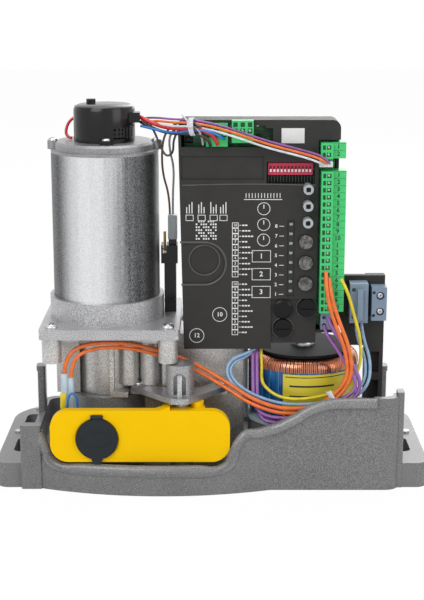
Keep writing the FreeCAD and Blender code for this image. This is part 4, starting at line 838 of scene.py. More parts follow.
class Recipe(Graph):
    """A geometry tree with named inputs that ends in Realize Instances and Set Material."""

    def __init__(self, name: str) -> None:
        """Makes the tree with its two geometry sockets.

        Args:
            name: The tree's name.
        """
        super().__init__(bpy.data.node_groups.new(name, "GeometryNodeTree"))
        self.tree.interface.new_socket("Geometry", in_out="INPUT", socket_type="NodeSocketGeometry")
        self.tree.interface.new_socket("Geometry", in_out="OUTPUT", socket_type="NodeSocketGeometry")
        self.entry = self.tree.nodes.new("NodeGroupInput")
        self.exit = self.tree.nodes.new("NodeGroupOutput")

    def size(self, name: str, kind: str = "Float") -> Value:
        """A named input.

        Args:
            name: Its name.
            kind: Float, Int, Vector, Bool or Material.

        Returns:
            Its value inside the tree.
        """
        self.tree.interface.new_socket(name, in_out="INPUT", socket_type="NodeSocket" + kind)
        return Value(self, self.entry.outputs[name])

    def geometry(self) -> Value:
        """The geometry that comes in."""
        return Value(self, self.entry.outputs["Geometry"])

    def end(self, made: Value) -> "Recipe":
        """Realizes the instances and sets the material.

        Args:
            made: The geometry to hand out.

        Returns:
            This recipe.
        """
        finish = self.size("Finish", "Material")
        real = self.node("GeometryNodeRealizeInstances", {}, {"Geometry": made})
        dressed = self.node("GeometryNodeSetMaterial", {}, {"Geometry": real, "Material": finish})
        self.tree.links.new(dressed.socket, self.exit.inputs["Geometry"])
        return self

    def bake(self, name: str, values: dict, finish: Finish, body: Body, slot: str | None = None,
             points: list[Point] | None = None, angle: float = 32.0) -> bpy.types.Object:
        """Runs the tree once and keeps its result as a plain mesh.

        Args:
            name: The piece's name.
            values: Each input's value, by its name.
            finish: The piece's finish.
            body: The body it rides on.
            slot: Not used.
            points: Points in millimetres for trees that place things on points.
            angle: Edges sharper than this stay sharp.

        Returns:
            The new object.
        """
        data = bpy.data.meshes.new(name)
        data.from_pydata([metres(p) for p in points or []], [], [])
        obj = bpy.data.objects.new(name, data)
        bpy.context.scene.collection.objects.link(obj)
        modifier = obj.modifiers.new("recipe", "NODES")
        modifier.node_group = self.tree
        given = {**values, "Finish": finish.material()}
        for item in self.tree.interface.items_tree:
            if item.in_out == "INPUT" and item.name in given:
                modifier[item.identifier] = given[item.name]
        made = bpy.data.meshes.new_from_object(obj.evaluated_get(bpy.context.evaluated_depsgraph_get()))
        obj.modifiers.clear()
        obj.data = made
        made.name = name
        if not len(made.polygons):
            raise ValueError("the tree made nothing for " + name)
        return settle(obj, finish, body, angle)


def screw_recipe() -> Recipe:
    """Screw heads with a slot or a cross, one on each point.

    Returns:
        The tree.
    """
    recipe = Recipe("screw_heads")
    radius, height = recipe.size("Radius"), recipe.size("Height")
    cross, turn = recipe.size("Cross", "Bool"), recipe.size("Turn", "Vector")
    seed = recipe.size("Seed", "Int")
    ball = recipe.node("GeometryNodeMeshUVSphere", {}, {"Segments": 28, "Rings": 14, "Radius": 1.0},
                       out="Mesh")
    shape = recipe.node("ShaderNodeCombineXYZ", {}, {0: radius, 1: radius, 2: height})
    dome = recipe.node("GeometryNodeTransform", {}, {"Geometry": ball, "Scale": shape})
    arms = []
    for swap in (False, True):
        long, wide = radius * 1.25, radius * 0.26
        sides = {0: wide if swap else long, 1: long if swap else wide, 2: height * 0.9}
        size = recipe.node("ShaderNodeCombineXYZ", {}, sides)
        bar = recipe.node("GeometryNodeMeshCube", {}, {"Size": size}, out="Mesh")
        lift = recipe.node("ShaderNodeCombineXYZ", {}, {2: height})
        arms.append(recipe.node("GeometryNodeTransform", {}, {"Geometry": bar, "Translation": lift}))
    slotted = boolean(recipe, dome, arms[0])
    crossed = boolean(recipe, slotted, arms[1])
    head = recipe.node("GeometryNodeSwitch", {"input_type": "GEOMETRY"},
                       {"Switch": cross, "False": slotted, "True": crossed})
    spin = recipe.node("FunctionNodeRandomValue", {"data_type": "FLOAT"},
                       {2: 0.0, 3: math.pi, "Seed": seed}, out=1)
    own = recipe.node("ShaderNodeCombineXYZ", {}, {2: spin})
    first = recipe.node("FunctionNodeEulerToRotation", {}, {0: turn})
    second = recipe.node("FunctionNodeEulerToRotation", {}, {0: own})
    way = recipe.node("FunctionNodeRotateRotation", {"rotation_space": "LOCAL"}, {0: first, 1: second})
    placed = recipe.node("GeometryNodeInstanceOnPoints", {},
                         {"Points": recipe.geometry(), "Instance": head, "Rotation": way})
    return recipe.end(placed)


def boolean(recipe: Recipe, base: Value, tool: Value) -> Value:
    """The base less the tool.

    Args:
        recipe: The tree.
        base: The shape that is kept.
        tool: The shape that is taken out.

    Returns:
        What is left.
    """
    return recipe.node("GeometryNodeMeshBoolean", {"operation": "DIFFERENCE"},
                       {"Mesh 1": base, "Mesh 2": tool}, out="Mesh")


def row_recipe() -> Recipe:
    """Equal blocks in a row, a little uneven where wanted.

    Returns:
        The tree.
    """
    recipe = Recipe("row_of_blocks")
    count, start = recipe.size("Count", "Int"), recipe.size("Start", "Vector")
    pitch, block = recipe.size("Pitch", "Vector"), recipe.size("Block", "Vector")
    line = recipe.node("GeometryNodeMeshLine", {"mode": "OFFSET"},
                       {"Count": count, "Start Location": start, "Offset": pitch})
    cube = recipe.node("GeometryNodeMeshCube", {}, {"Size": block, "Vertices X": 3, "Vertices Y": 3,
                                                    "Vertices Z": 3}, out="Mesh")
    soft = recipe.node("GeometryNodeSubdivisionSurface", {}, {"Mesh": cube, "Level": 1, "Edge Crease": 0.75})
    placed = recipe.node("GeometryNodeInstanceOnPoints", {}, {"Points": line, "Instance": soft})
    return recipe.end(placed)


def turns_recipe() -> Recipe:
    """Wire turns over the shoulder of a ring, each bent from the top round to the side.

    Returns:
        The tree.
    """
    recipe = Recipe("copper_turns")
    count, wire = recipe.size("Count", "Int"), recipe.size("Wire")
    inner, outer = recipe.size("Inner"), recipe.size("Outer")
    top, foot = recipe.size("Top"), recipe.size("Foot")
    centre, seed = recipe.size("Centre", "Vector"), recipe.size("Seed", "Int")
    start = recipe.node("ShaderNodeCombineXYZ", {}, {0: inner, 2: top})
    corner = recipe.node("ShaderNodeCombineXYZ", {}, {0: outer, 2: top})
    end = recipe.node("ShaderNodeCombineXYZ", {}, {0: outer, 2: foot})
    bend = recipe.node("GeometryNodeCurveQuadraticBezier", {},
                       {"Resolution": 9, "Start": start, "Middle": corner, "End": end})
    round_wire = recipe.node("GeometryNodeCurvePrimitiveCircle", {"mode": "RADIUS"},
                             {"Resolution": 6, "Radius": wire}, out="Curve")
    turn = recipe.node("GeometryNodeCurveToMesh", {}, {"Curve": bend, "Profile Curve": round_wire,
                                                       "Fill Caps": True})
    ring = recipe.node("GeometryNodeMeshCircle", {}, {"Vertices": count, "Radius": 0.000001})
    index = recipe.node("GeometryNodeInputIndex")
    jitter = recipe.node("FunctionNodeRandomValue", {"data_type": "FLOAT"},
                         {2: -0.006, 3: 0.006, "Seed": seed}, out=1)
    angle = index * math.tau / count + jitter
    way = recipe.node("ShaderNodeCombineXYZ", {}, {2: angle})
    placed = recipe.node("GeometryNodeInstanceOnPoints", {},
                         {"Points": ring, "Instance": turn, "Rotation": way})
    moved = recipe.node("GeometryNodeTransform", {}, {"Geometry": placed, "Translation": centre})
    return recipe.end(moved)


def weld_tree() -> bpy.types.NodeTree:
    """Joins the loose triangles of a CAD node and shades its round faces smooth.

    Returns:
        The tree.
    """
    graph = Graph(bpy.data.node_groups.new("weld_and_shade", "GeometryNodeTree"))
    graph.tree.interface.new_socket("Geometry", in_out="INPUT", socket_type="NodeSocketGeometry")
    graph.tree.interface.new_socket("Geometry", in_out="OUTPUT", socket_type="NodeSocketGeometry")
    entry = graph.tree.nodes.new("NodeGroupInput")
    end = graph.tree.nodes.new("NodeGroupOutput")
    joined = graph.node("GeometryNodeMergeByDistance", {},
                        {"Geometry": Value(graph, entry.outputs["Geometry"]), "Distance": 0.000002})
    smooth = graph.node("GeometryNodeSetShadeSmooth", {"domain": "FACE"},
                        {"Geometry": joined, "Shade Smooth": True})
    bend = graph.node("GeometryNodeInputMeshEdgeAngle", out="Unsigned Angle")
    sharp = graph.node("FunctionNodeCompare", {"data_type": "FLOAT", "operation": "GREATER_THAN"},
                       {0: bend, 1: math.radians(30)})
    done = graph.node("GeometryNodeSetShadeSmooth", {"domain": "EDGE"},
                      {"Geometry": smooth, "Selection": sharp, "Shade Smooth": False})
    graph.tree.links.new(done.socket, end.inputs["Geometry"])
    return graph.tree


@dataclass
class Recipes:
    """The geometry trees that the sub-assemblies share."""

    screws: Recipe = field(default_factory=screw_recipe)
    rows: Recipe = field(default_factory=row_recipe)
    turns: Recipe = field(default_factory=turns_recipe)

    def heads(self, name: str, radius: float, height: float, drive: Drive, seed: int, points: list[Point],
              turn: Point = (0.0, 0.0, 0.0)) -> bpy.types.Object:
        """Equal screw heads in zinc-coated steel.

        Args:
            name: The piece's name.
            radius: A head's radius in millimetres.
            height: Its height.
            drive: Its recess.
            seed: The seed for how far each is turned.
            points: Where the heads sit, in millimetres.
            turn: How all of them are turned, in radians.

        Returns:
            The piece with every head.
        """
        sizes = {"Radius": radius * MM, "Height": height * MM, "Cross": drive.value, "Turn": turn,
                 "Seed": seed}
        return self.screws.bake(name, sizes, ZINC, Body.FRAME, "zinc_steel", points)


# Wires.


@dataclass
class Wire:
    """One insulated wire from end to end, in millimetres."""

    name: str
    finish: Finish
    route: list[Point]
    radius: float = 1.2
    replaces: str | None = None

    def build(self) -> bpy.types.Object:
        """The wire as one smooth curve.

        Returns:
            The curve object.
        """
        curve = bpy.data.curves.new(self.name, "CURVE")
        curve.dimensions = "3D"
        curve.resolution_u = 6
        line = curve.splines.new("NURBS")
        line.points.add(len(self.route) - 1)
        for knot, point in zip(line.points, self.route):
            knot.co = (*metres(point), 1.0)
        line.order_u = 3
        line.use_endpoint_u = True
        obj = bpy.data.objects.new(self.name, curve)
        bpy.context.scene.collection.objects.link(obj)
        length = self.measure(obj)
        curve.bevel_depth = self.radius * MM
        curve.bevel_resolution = 3
        curve.use_fill_caps = True
        curve.materials.append(self.finish.material())
        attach(obj, Body.FRAME.value)
        2 * self.radius * MM
        if self.replaces:
            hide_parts(self.replaces)
        log.info("wire %s, %.0f mm long", self.name, length / MM)
        return obj

    def measure(self, obj: bpy.types.Object) -> float:
        """The centreline's length.

        Args:
            obj: The curve before it has a thickness.

        Returns:
            The length in metres.
        """
        line = bpy.data.meshes.new_from_object(obj.evaluated_get(bpy.context.evaluated_depsgraph_get()))
        spots = [v.co.copy() for v in line.vertices]
        bpy.data.meshes.remove(line)
        return sum((b - a).length for a, b in zip(spots, spots[1:]))


@dataclass
class Harness:
    """The wires and the ties that hold them."""

    tie_width: float = 1.7

    def wires(self) -> list[Wire]:
        """Every wire of the harness.

        Returns:
            The wires in the order that they are built.
        """
        return [
            Wire("wire_encoder_red", RED_WIRE,
                 [(-51, -28, 264.1), (-41, -32, 259), (-26, -42, 257), (-10, -51, 259), (2, -53, 254),
                  (4, -48.2, 247)], 1.5, "wiring"),
            Wire("wire_encoder_black", BLACK_WIRE,
                 [(-51, -27, 260.6), (-41, -31.5, 255.6), (-26, -41.5, 253.4), (-11, -50.8, 255.4),
                  (-1.5, -53, 251), (-1.2, -48.2, 246.2)]),
            Wire("wire_switch_orange", ORANGE,
                 [(-106, -63, 84.7), (-105, -62.6, 95), (-96, -61, 104), (-78, -58.5, 106.5),
                  (-60, -56.8, 105), (-43, -54, 100.5), (-27, -48.8, 94), (-9, -47.6, 85.4),
                  (11, -54, 75), (30, -62.6, 64), (54, -66, 57.6), (79, -63.6, 60.4), (97.6, -61, 77),
                  (97, -58.6, 98), (86, -55.6, 124), (81.4, -53, 144), (81.6, -47.6, 156)], 1.5, "wiring"),
            Wire("wire_switch_orange_2", ORANGE,
                 [(-101.2, -63, 81), (-100.4, -62.6, 91), (-93.5, -61.2, 100), (-77, -58.8, 103),
                  (-60, -57.2, 101.6), (-44, -54.4, 97.4), (-28.6, -49.4, 91), (-11, -48.2, 82),
                  (9.4, -54.6, 71.6), (29, -63.4, 60.4), (54, -66.8, 54), (80.6, -64.2, 57.2),
                  (100.6, -61.6, 76), (100, -59, 99), (89.4, -56, 125), (84.6, -53, 142),
                  (84.2, -47.8, 150.6)], 1.4),
            Wire("wire_supply_purple", PURPLE,
                 [(81.4, -43.2, 114.6), (82, -47, 110), (90, -52, 100), (97.6, -58, 88), (103, -62, 80),
                  (103.4, -64, 74), (99, -65.4, 69), (91, -66.2, 64), (80, -66.8, 58.4),
                  (66, -67.2, 53.4), (50, -67.2, 51.6), (36, -64, 53.4), (30, -57, 60), (29.8, -48, 74),
                  (30, -36, 92), (30, -28, 105.4)], 1.4),
            Wire("wire_supply_purple_2", PURPLE,
                 [(84, -43.2, 120.4), (85.4, -47.6, 116), (93.4, -52.6, 104), (101, -58.4, 90.6),
                  (106.6, -61.6, 79), (106, -63.6, 70.6), (100.6, -65, 65), (91.6, -66.2, 60.4),
                  (80, -66.8, 54.6), (66, -67.2, 49.8), (50, -67.2, 48), (35.6, -65, 49.4),
                  (33, -55.6, 58), (32.8, -46, 76), (33, -35, 93), (33, -28, 105.4)], 1.4),
            Wire("wire_winding_blue", PALE_BLUE,
                 [(105.5, -33, 115), (105.8, -36, 104), (112.6, -42, 89), (111, -52, 73), (97, -59.4, 65),
                  (76, -61.6, 61), (54, -62.6, 60.6), (34, -59.4, 65), (19, -53, 72), (12.4, -47.4, 81),
                  (15.6, -43, 87), (25, -38, 89.6), (35.6, -32.6, 97), (36, -28, 105.4)]),
            Wire("wire_winding_blue_2", PALE_BLUE,
                 [(109.4, -33, 115), (110.4, -36.6, 104), (116, -42.6, 88.6), (114, -53, 71.6),
                  (98.4, -60.6, 62), (77, -63.2, 57.6), (54, -64.2, 57.4), (33, -61.4, 62),
                  (16.8, -54.6, 70.4), (9.6, -48.6, 81), (14, -44, 90), (25, -40, 92.4),
                  (37.6, -33.4, 99), (39, -28, 105.4)]),
            Wire("wire_winding_yellow", YELLOW_WIRE,
                 [(92.6, -46.4, 150), (97, -48.6, 143), (103, -47, 122), (108, -45, 105),
                  (108.4, -49, 86), (98, -56.4, 71), (78, -58, 65), (60, -58.4, 63), (47, -56.6, 65),
                  (37.6, -50, 71), (36, -44, 76), (36.6, -38, 82), (36, -34, 94), (36, -28.4, 105.4)]),
            Wire("wire_encoder_loop", RED_WIRE,
                 [(-91, 1.4, 262), (-98, -4, 262.4), (-103.4, -11, 259.6), (-105.8, -15, 253),
                  (-104.4, -18, 248.6), (-101, -19, 248)], 1.1),
            Wire("wire_limit_brown", BROWN_WIRE,
                 [(-31, -10, 191), (-31.2, -11, 205), (-36, -17, 222), (-36, -26, 242), (-33, -33, 254),
                  (-26, -39, 261), (-15, -47, 263), (-5, -52.4, 258.6), (-4.6, -48.4, 249)], 0.8),
            Wire("wire_limit_grey", GREY_WIRE,
                 [(-28.8, -10, 191), (-28.8, -11, 205), (-27.4, -17, 226), (-30.4, -26.4, 240),
                  (-30.4, -33.4, 251.6), (-25, -40, 257.8), (-15, -48.4, 260.6), (-6.8, -53.6, 256),
                  (-6.4, -48.6, 247)], 0.8),
            Wire("wire_thin_black", BLACK_WIRE,
                 [(-50.8, -23, 261), (-43, -25, 258), (-38, -29, 246), (-33, -32.6, 236),
                  (-27.4, -34, 239), (-27.4, -38, 250), (-21, -43.6, 260), (-13, -49.6, 262.4),
                  (-6.4, -52.8, 258), (-8.4, -48.4, 250)], 0.8),
            Wire("wire_thin_blue", BLUE_WIRE,
                 [(-50.8, -30, 258), (-41, -34, 256), (-28, -41, 254), (-14, -49.4, 257),
                  (-4, -53.4, 257.4), (6, -53, 253.4), (8.8, -47.2, 250.6)], 0.9),
            Wire("wire_cross_orange", ORANGE,
                 [(-50.8, -21, 259), (-42, -30, 262), (-27, -41, 261.4), (-13, -48.6, 262.4),
                  (10, -51.6, 257.6), (38, -49.6, 247.4), (65, -49.4, 240.6), (78, -50, 236.6),
                  (80.6, -47, 233.4)], 0.9),
            Wire("wire_cross_white", WHITE_WIRE,
                 [(-50.8, -19, 256.6), (-42, -31, 260), (-27, -42.4, 259), (-13, -50, 260),
                  (10, -53, 255.2), (38, -50.6, 245), (65, -50.2, 238.4), (76, -50.4, 234.4),
                  (78.4, -47, 232.4)], 0.8),
            Wire("wire_cross_purple", PURPLE,
                 [(-50.8, -17, 262), (-42, -28.6, 264), (-27, -40, 263.6), (-13, -47.6, 264.4),
                  (10, -49, 259.4), (38, -48, 249.4), (65, -47.8, 242.6), (79.6, -49.6, 238.4),
                  (82.8, -47, 233.4)], 0.8),
            Wire("wire_switch_blue", BLUE_WIRE,
                 [(-104.8, -66.4, 50), (-104.6, -67.8, 60), (-101.8, -69, 72), (-97, -68.4, 70),
                  (-96.4, -67, 58), (-97, -66, 49.7)], 0.9),
        ]

    def build(self) -> None:
        """The wires, and two ties round them."""
        for wire in self.wires():
            wire.build()
        self.tie("tie_top", (-13.4, -49.4, 259.6), 6.0, 4.6, (1.0, -0.35, 0.1))
        self.tie("tie_loop", (88, -63.4, 63), 8.6, 5.0, (1.0, 0.1, 0.5))

    def tie(self, name: str, middle: Point, high: float, deep: float, way: Point) -> bpy.types.Object:
        """A flat strap round a bundle, with its lock and its tail.

        Args:
            name: The piece's name.
            middle: The bundle's middle.
            high: Half of the loop's height.
            deep: Half of its depth.
            way: The bundle's direction.

        Returns:
            The piece.
        """
        turn = Vector((1, 0, 0)).rotation_difference(Vector(way)).to_matrix()
        steps = 28
        loop = []
        for k in range(steps):
            angle = math.tau * k / steps
            loop.append(Vector(middle) + turn @ Vector((0, deep * math.cos(angle), high * math.sin(angle))))
        form = Form()
        half = turn @ Vector((self.tie_width, 0, 0))
        rows = []
        for k in range(steps + 1):
            spot = loop[k % steps]
            out = (spot - Vector(middle)).normalized() * 0.45
            rows.append([spot - half - out, spot + half - out, spot + half + out, spot - half + out])
        form.rings(rows, True, False)
        lock = Vector(middle) + turn @ Vector((0, -deep - 0.6, high * 0.35))
        form.block(tuple(lock - Vector((2.2, 1.8, 1.8))), tuple(lock + Vector((2.2, 1.2, 1.8))), 0.4)
        tail = [lock + Vector(step) for step in ((0, -0.4, 0), (-2.4, -1.6, 3.4), (-5.6, -2.4, 7.4))]
        form.pipe(tail, 1.3, 6, 0.4)
        return form.piece(name, TIE, Body.FRAME)


# Sub-assemblies.


@dataclass
class Carried:
    """The CAD nodes that stay, with their own finishes."""

    hidden: tuple[str, ...] = ("wiring", "transformer", "machine_screws")

    def dress(self) -> None:
        """Gives every CAD node its material and smooth round faces."""
        tree = weld_tree()
        for name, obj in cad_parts.items():
            obj.data.materials.clear()
            obj.data.materials.append(finish_of(name).material())
            if name not in self.hidden:
                modifier = obj.modifiers.new("weld", "NODES")
                modifier.node_group = tree
        log.info("%d carried nodes dressed", len(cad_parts))


@dataclass
class Transformer:
    """The wound ring under its pads."""

    x: float = 68.7
    y: float = -10.0
    radius: float = 41.2
    hole: float = 15.6
    foot: float = 41.2
    top: float = 89.7
    film_top: float = 80.5
    turns_start: float = 31.0
    strips: int = 34
    turns: int = 176
    wire: float = 0.62
    label: tuple[float, float, float, float] = (-24.0, 62.0, 46.0, 79.5)

    def build(self, recipes: Recipes) -> None:
        """The film body, the copper turns that show on its shoulder, and the bare label.

        Args:
            recipes: The shared trees.
        """
        body = self.film()
        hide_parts("transformer")
        sizes = {"Count": self.turns, "Wire": self.wire * MM, "Inner": self.turns_start * MM,
                 "Outer": (self.radius - 0.25) * MM, "Top": (self.top - 0.35) * MM,
                 "Foot": self.film_top * MM, "Centre": metres((self.x, self.y, 0)), "Seed": 7}
        recipes.turns.bake("winding_turns", sizes, COPPER, Body.FRAME, "winding_film")
        self.paper()

    def film(self) -> bpy.types.Object:
        """The wrapped body, its strips stepping a little round the ring.

        Returns:
            The piece.
        """
        steps = 10 * self.strips
        profile = [(self.hole, 46), (self.hole, 85), (18, 88), (24, 88.6), (33, 88.6), (37.4, 87.4),
                   (39.8, 84.8), (40.6, 81.4), (41.1, 79.6), (self.radius, 76), (self.radius, 66),
                   (self.radius, 54), (self.radius, 47), (40.2, 43.6), (37.6, 41.8), (32, self.foot),
                   (20, self.foot), (17, 42.4)]
        loops = []
        for k in range(steps):
            turn = math.tau * k / steps
            share = (turn / math.tau * self.strips) % 1.0
            step = 0.35 * share - 0.2
            way = Vector((math.cos(turn), math.sin(turn), 0))
            loop = []
            for radius, height in profile:
                grown = radius + (step if radius > 30 and height < self.film_top else 0)
                loop.append(Vector((self.x, self.y, height)) + way * grown)
            loops.append(loop)
        loops.append(loops[0])
        return Form().rings(loops, True, False).piece("winding_body", FILM, Body.FRAME, "winding_film", 50)

    def paper(self) -> None:
        """The label, bent round the ring, with a plain frame and three plain rules on it."""
        start, end, low, high = self.label
        sheet = Form()
        self.bent(sheet, start, end, low, high, 0.35, 0.25)
        sheet.piece("winding_label", LABEL, Body.FRAME)
        span = end - start
        marks = [(0.03, 0.97, 0.93, 0.95), (0.03, 0.97, 0.05, 0.07), (0.08, 0.62, 0.72, 0.76),
                 (0.08, 0.5, 0.5, 0.53), (0.08, 0.7, 0.3, 0.33)]
        form = Form()
        for left, right, bottom, top in marks:
            self.bent(form, start + span * left, start + span * right, low + (high - low) * bottom,
                      low + (high - low) * top, 0.52, 0.12)
        form.piece("winding_label_rules", INK_DARK, Body.FRAME)

    def bent(self, form: Form, start: float, end: float, low: float, high: float, lift: float,
             thick: float) -> None:
        """Adds a thin bent sheet.

        Args:
            form: The mesh it goes into.
            start: Its first angle in degrees, from straight ahead towards the right.
            end: Its last angle.
            low: Its foot.
            high: Its top.
            lift: How far its inside stands off the ring.
            thick: Its thickness.
        """
        count = max(2, int((end - start) / 3))
        rows = []
        for k in range(count + 1):
            turn = math.radians(start + (end - start) * k / count)
            way = Vector((math.sin(turn), -math.cos(turn), 0))
            inner = Vector((self.x, self.y, 0)) + way * (self.radius + lift)
            outer = inner + way * thick
            foot, head = Vector((0, 0, low)), Vector((0, 0, high))
            rows.append([inner + foot, outer + foot, outer + head, inner + head])
        form.rings(rows)


@dataclass
class Fasteners:
    """The screw heads, in place of the plain ones."""

    plate_top: float = 118.3
    plate_middle: tuple[float, float] = (-73.0, -21.0)
    plate_reach: float = 41.5
    cap_top: float = 246.6
    cap_middle: tuple[float, float] = (-77.2, -21.0)
    cap_reach: float = 37.1

    def build(self, recipes: Recipes) -> None:
        """Domed heads with a cross or a slot, and the centre bolt.

        Args:
            recipes: The shared trees.
        """
        (plate_x, plate_y), (cap_x, cap_y) = self.plate_middle, self.cap_middle
        plate = [(plate_x + sx * self.plate_reach, plate_y + sy * self.plate_reach, self.plate_top + 0.3)
                 for sx in (-1, 1) for sy in (-1, 1)]
        heads = recipes.heads("plate_screws", 4.8, 2.9, Drive.CROSS, 3, plate)
        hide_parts("machine_screws")
        cap = [(cap_x + sx * self.cap_reach, cap_y, self.cap_top + 0.2) for sx in (-1, 1)]
        recipes.heads("cap_screws", 3.7, 2.1, Drive.CROSS, 5, cap)
        recipes.heads("encoder_screw", 3.1, 1.7, Drive.CROSS, 6, [(-74.2, -46.8, self.cap_top + 3.1)])
        recipes.heads("bracket_screws", 3.6, 2.2, Drive.SLOT, 9, [(-54, -40.7, 70.2), (6.5, -40.7, 70.2)])
        form = Form()
        form.lathe([(0.01, 90), (9, 90), (9, 92.4), (8.4, 93.4), (6.6, 93.6), (6.4, 96), (0.01, 96)],
                   (68.7, -10, 2))
        form.piece("centre_bolt", ZINC, Body.FRAME, "zinc_steel")


@dataclass
class ControlBoard:
    """The case's front, its print, its lamps and the parts in its window."""

    face: float = -41.0
    stroke: float = 0.42
    ink: float = 0.09
    bed: float = 0.01
    pole: float = 5.08

    def build(self, recipes: Recipes) -> None:
        """Every piece on the case.

        Args:
            recipes: The shared trees.
        """
        self.window(recipes)
        self.print_work()
        self.lamps(recipes)
        self.terminals(recipes)
        self.line()
        self.recess()
        self.knobs()

    def window(self, recipes: Recipes) -> None:
        """Small parts on the board behind the upper opening, the comb, the switch's ribs and the bare label.

        Args:
            recipes: The shared trees.
        """
        parts = Form()
        for x0, x1, z0, z1, deep in ((-19.4, -13.6, 246, 250.4, 2.4), (-11.6, -7, 252, 254.6, 1.6),
                                     (31.4, 35, 246.6, 252, 3.4), (-19, -16.8, 252.4, 255.4, 2.0)):
            parts.block((x0, -30 - deep, z0), (x1, -30.05, z1), 0.3)
        parts.piece("board_parts", CAP, Body.FRAME, "cap_black")
        recipes.rows.bake("board_pads", {"Count": 14, "Start": metres((-17, -30.2, 258.3)),
                                         "Pitch": metres((3.8, 0, 0)), "Block": metres((1.6, 0.5, 1.2))},
                          ZINC, Body.FRAME)
        recipes.rows.bake("board_comb", {"Count": 6, "Start": metres((39.6, -36.4, 246.4)),
                                         "Pitch": metres((0, 0, 2.0)), "Block": metres((5.8, 1.2, 0.8))},
                          CASE, Body.FRAME, "case_plastic")
        recipes.rows.bake("switch_ribs", {"Count": 16, "Start": metres((40.2, -36.6, 221)),
                                          "Pitch": metres((2.14, 0, 0)), "Block": metres((1.1, 4.4, 5.4))},
                          CASE, Body.FRAME, "case_plastic")
        plate = Form().block((49, self.face - 0.22, 247), (65.2, self.face - 0.01, 257.6), 0.06)
        plate.piece("case_label", WHITE, Body.FRAME)

    def bar(self, form: Form, left: float, right: float, low: float, top: float) -> None:
        """A printed bar on the case's face.

        Args:
            form: The mesh it goes into.
            left: Its left edge.
            right: Its right edge.
            low: Its foot.
            top: Its top.
        """
        form.block((left, self.face - self.ink, low), (right, self.face - self.bed, top))

    def outline(self, form: Form, x: float, z: float, wide: float, high: float) -> None:
        """A thin printed frame round a place.

        Args:
            form: The mesh it goes into.
            x: Its middle, across.
            z: Its middle, up.
            wide: Its width.
            high: Its height.
        """
        s = self.stroke
        left, right, low, top = x - wide / 2, x + wide / 2, z - high / 2, z + high / 2
        for x0, x1, z0, z1 in ((left, right, top - s, top), (left, right, low, low + s),
                               (left, left + s, low + s, top - s), (right - s, right, low + s, top - s)):
            self.bar(form, x0, x1, z0, z1)

    def circle(self, form: Form, x: float, z: float, radius: float) -> None:
        """A thin printed ring.

        Args:
            form: The mesh it goes into.
            x: Its middle, across.
            z: Its middle, up.
            radius: Its outer radius.
        """
        inside, front, back = radius - self.stroke, self.face - self.ink, self.face - self.bed
        form.lathe([(inside, front), (radius, front), (radius, back), (inside, back)], (x, 0, z), "Y", 36)

    def figure(self, form: Form, text: str, size: float, x: float, z: float) -> None:
        """A printed figure.

        Args:
            form: The mesh it goes into.
            text: The figure.
            size: Its height.
            x: Its middle, across.
            z: Its middle, up.
        """
        form.words(text, size, x, self.face - 0.05, z)

    def print_work(self) -> None:
        """Everything that is printed on the case in white, none of it a word."""
        form = Form()
        self.charts(form)
        self.square(form)
        self.scale(form)
        self.dials(form)
        self.frames(form)
        self.channels(form)
        for top, foot in ((190.2, 148.4), (147, 106.8)):
            self.column(form, top, foot)
        for text, x, z in (("10", 5.6, 122.4), ("12", -11.1, 106.6)):
            self.circle(form, x, z, 5.4)
            self.figure(form, text, 4.4, x, z)
        form.piece("case_print", INK, Body.FRAME)

    def charts(self, form: Form) -> None:
        """Four small frames with three bars over each.

        Args:
            form: The mesh they go into.
        """
        foot, bar, pitch = 196.8, 0.7, 1.9
        for k, x in enumerate((-16, -7.4, 1.2, 8.2)):
            self.outline(form, x, 193.6, 5.6, 4.4)
            for step in range(3):
                high = 4.6 + (k + step) % 3 * 1.8
                left = x - 2.4 + step * pitch
                self.bar(form, left, left + bar, foot, foot + high)

    def square(self, form: Form) -> None:
        """A field of dots in a plain pattern that codes nothing.

        Args:
            form: The mesh it goes into.
        """
        for row in range(7):
            for column in range(9):
                if (row * 5 + column * 3) % 4:
                    x, z = -11.6 + column * 1.72, 190.4 - row * 2.1
                    self.bar(form, x, x + 1.1, z, z + 1.2)

    def scale(self, form: Form) -> None:
        """Twelve strokes on a line under the twelve-way switch.

        Args:
            form: The mesh it goes into.
        """
        for k in range(12):
            self.bar(form, 24 + k * 2.2, 24.5 + k * 2.2, 208, 211.4)
        self.bar(form, 22.8, 50, 206.6, 207.1)

    def dials(self, form: Form) -> None:
        """A ring with a hand for each trimmer.

        Args:
            form: The mesh they go into.
        """
        for z in (200.2, 188.8, 177.5):
            self.circle(form, 37, z, 4.6)
            self.bar(form, 36.7, 37.3, z, z + 3)

    def frames(self, form: Form) -> None:
        """A numbered frame for each push button.

        Args:
            form: The mesh they go into.
        """
        for k, z in enumerate((165.6, 152.4, 139.2)):
            self.outline(form, 35.5, z, 13.6, 8.8)
            self.figure(form, str(k + 1), 5.2, 35.5, z)

    def channels(self, form: Form) -> None:
        """A figure and a dash beside each lamp.

        Args:
            form: The mesh they go into.
        """
        top, pitch, count = 187.5, 7.14, 8
        for k in range(count):
            z = top - k * pitch
            self.figure(form, str(count - k), 3.6, 46, z)
            self.bar(form, 48.2, 51.6, z - 0.2, z + 0.2)

    def column(self, form: Form, top: float, foot: float) -> None:
        """Numbered frames in a column, each with a stroke and a few dashes.

        Args:
            form: The mesh they go into.
            top: The column's top.
            foot: The column's foot.
        """
        middle, pitch = 16.7, 4
        count = int((top - foot) / pitch)
        for k in range(count):
            z = top - pitch / 2 - k * pitch
            self.outline(form, middle, z, 4.6, pitch)
            self.figure(form, str(count - k), 2.6, middle, z)
            self.bar(form, 19.4, 21, z - 0.2, z + 0.2)
            for dash in range(2 + k * 7 % 3):
                left = 21.6 + dash * 2.1
                self.bar(form, left, left + 1.6, z - 0.5, z + 0.5)

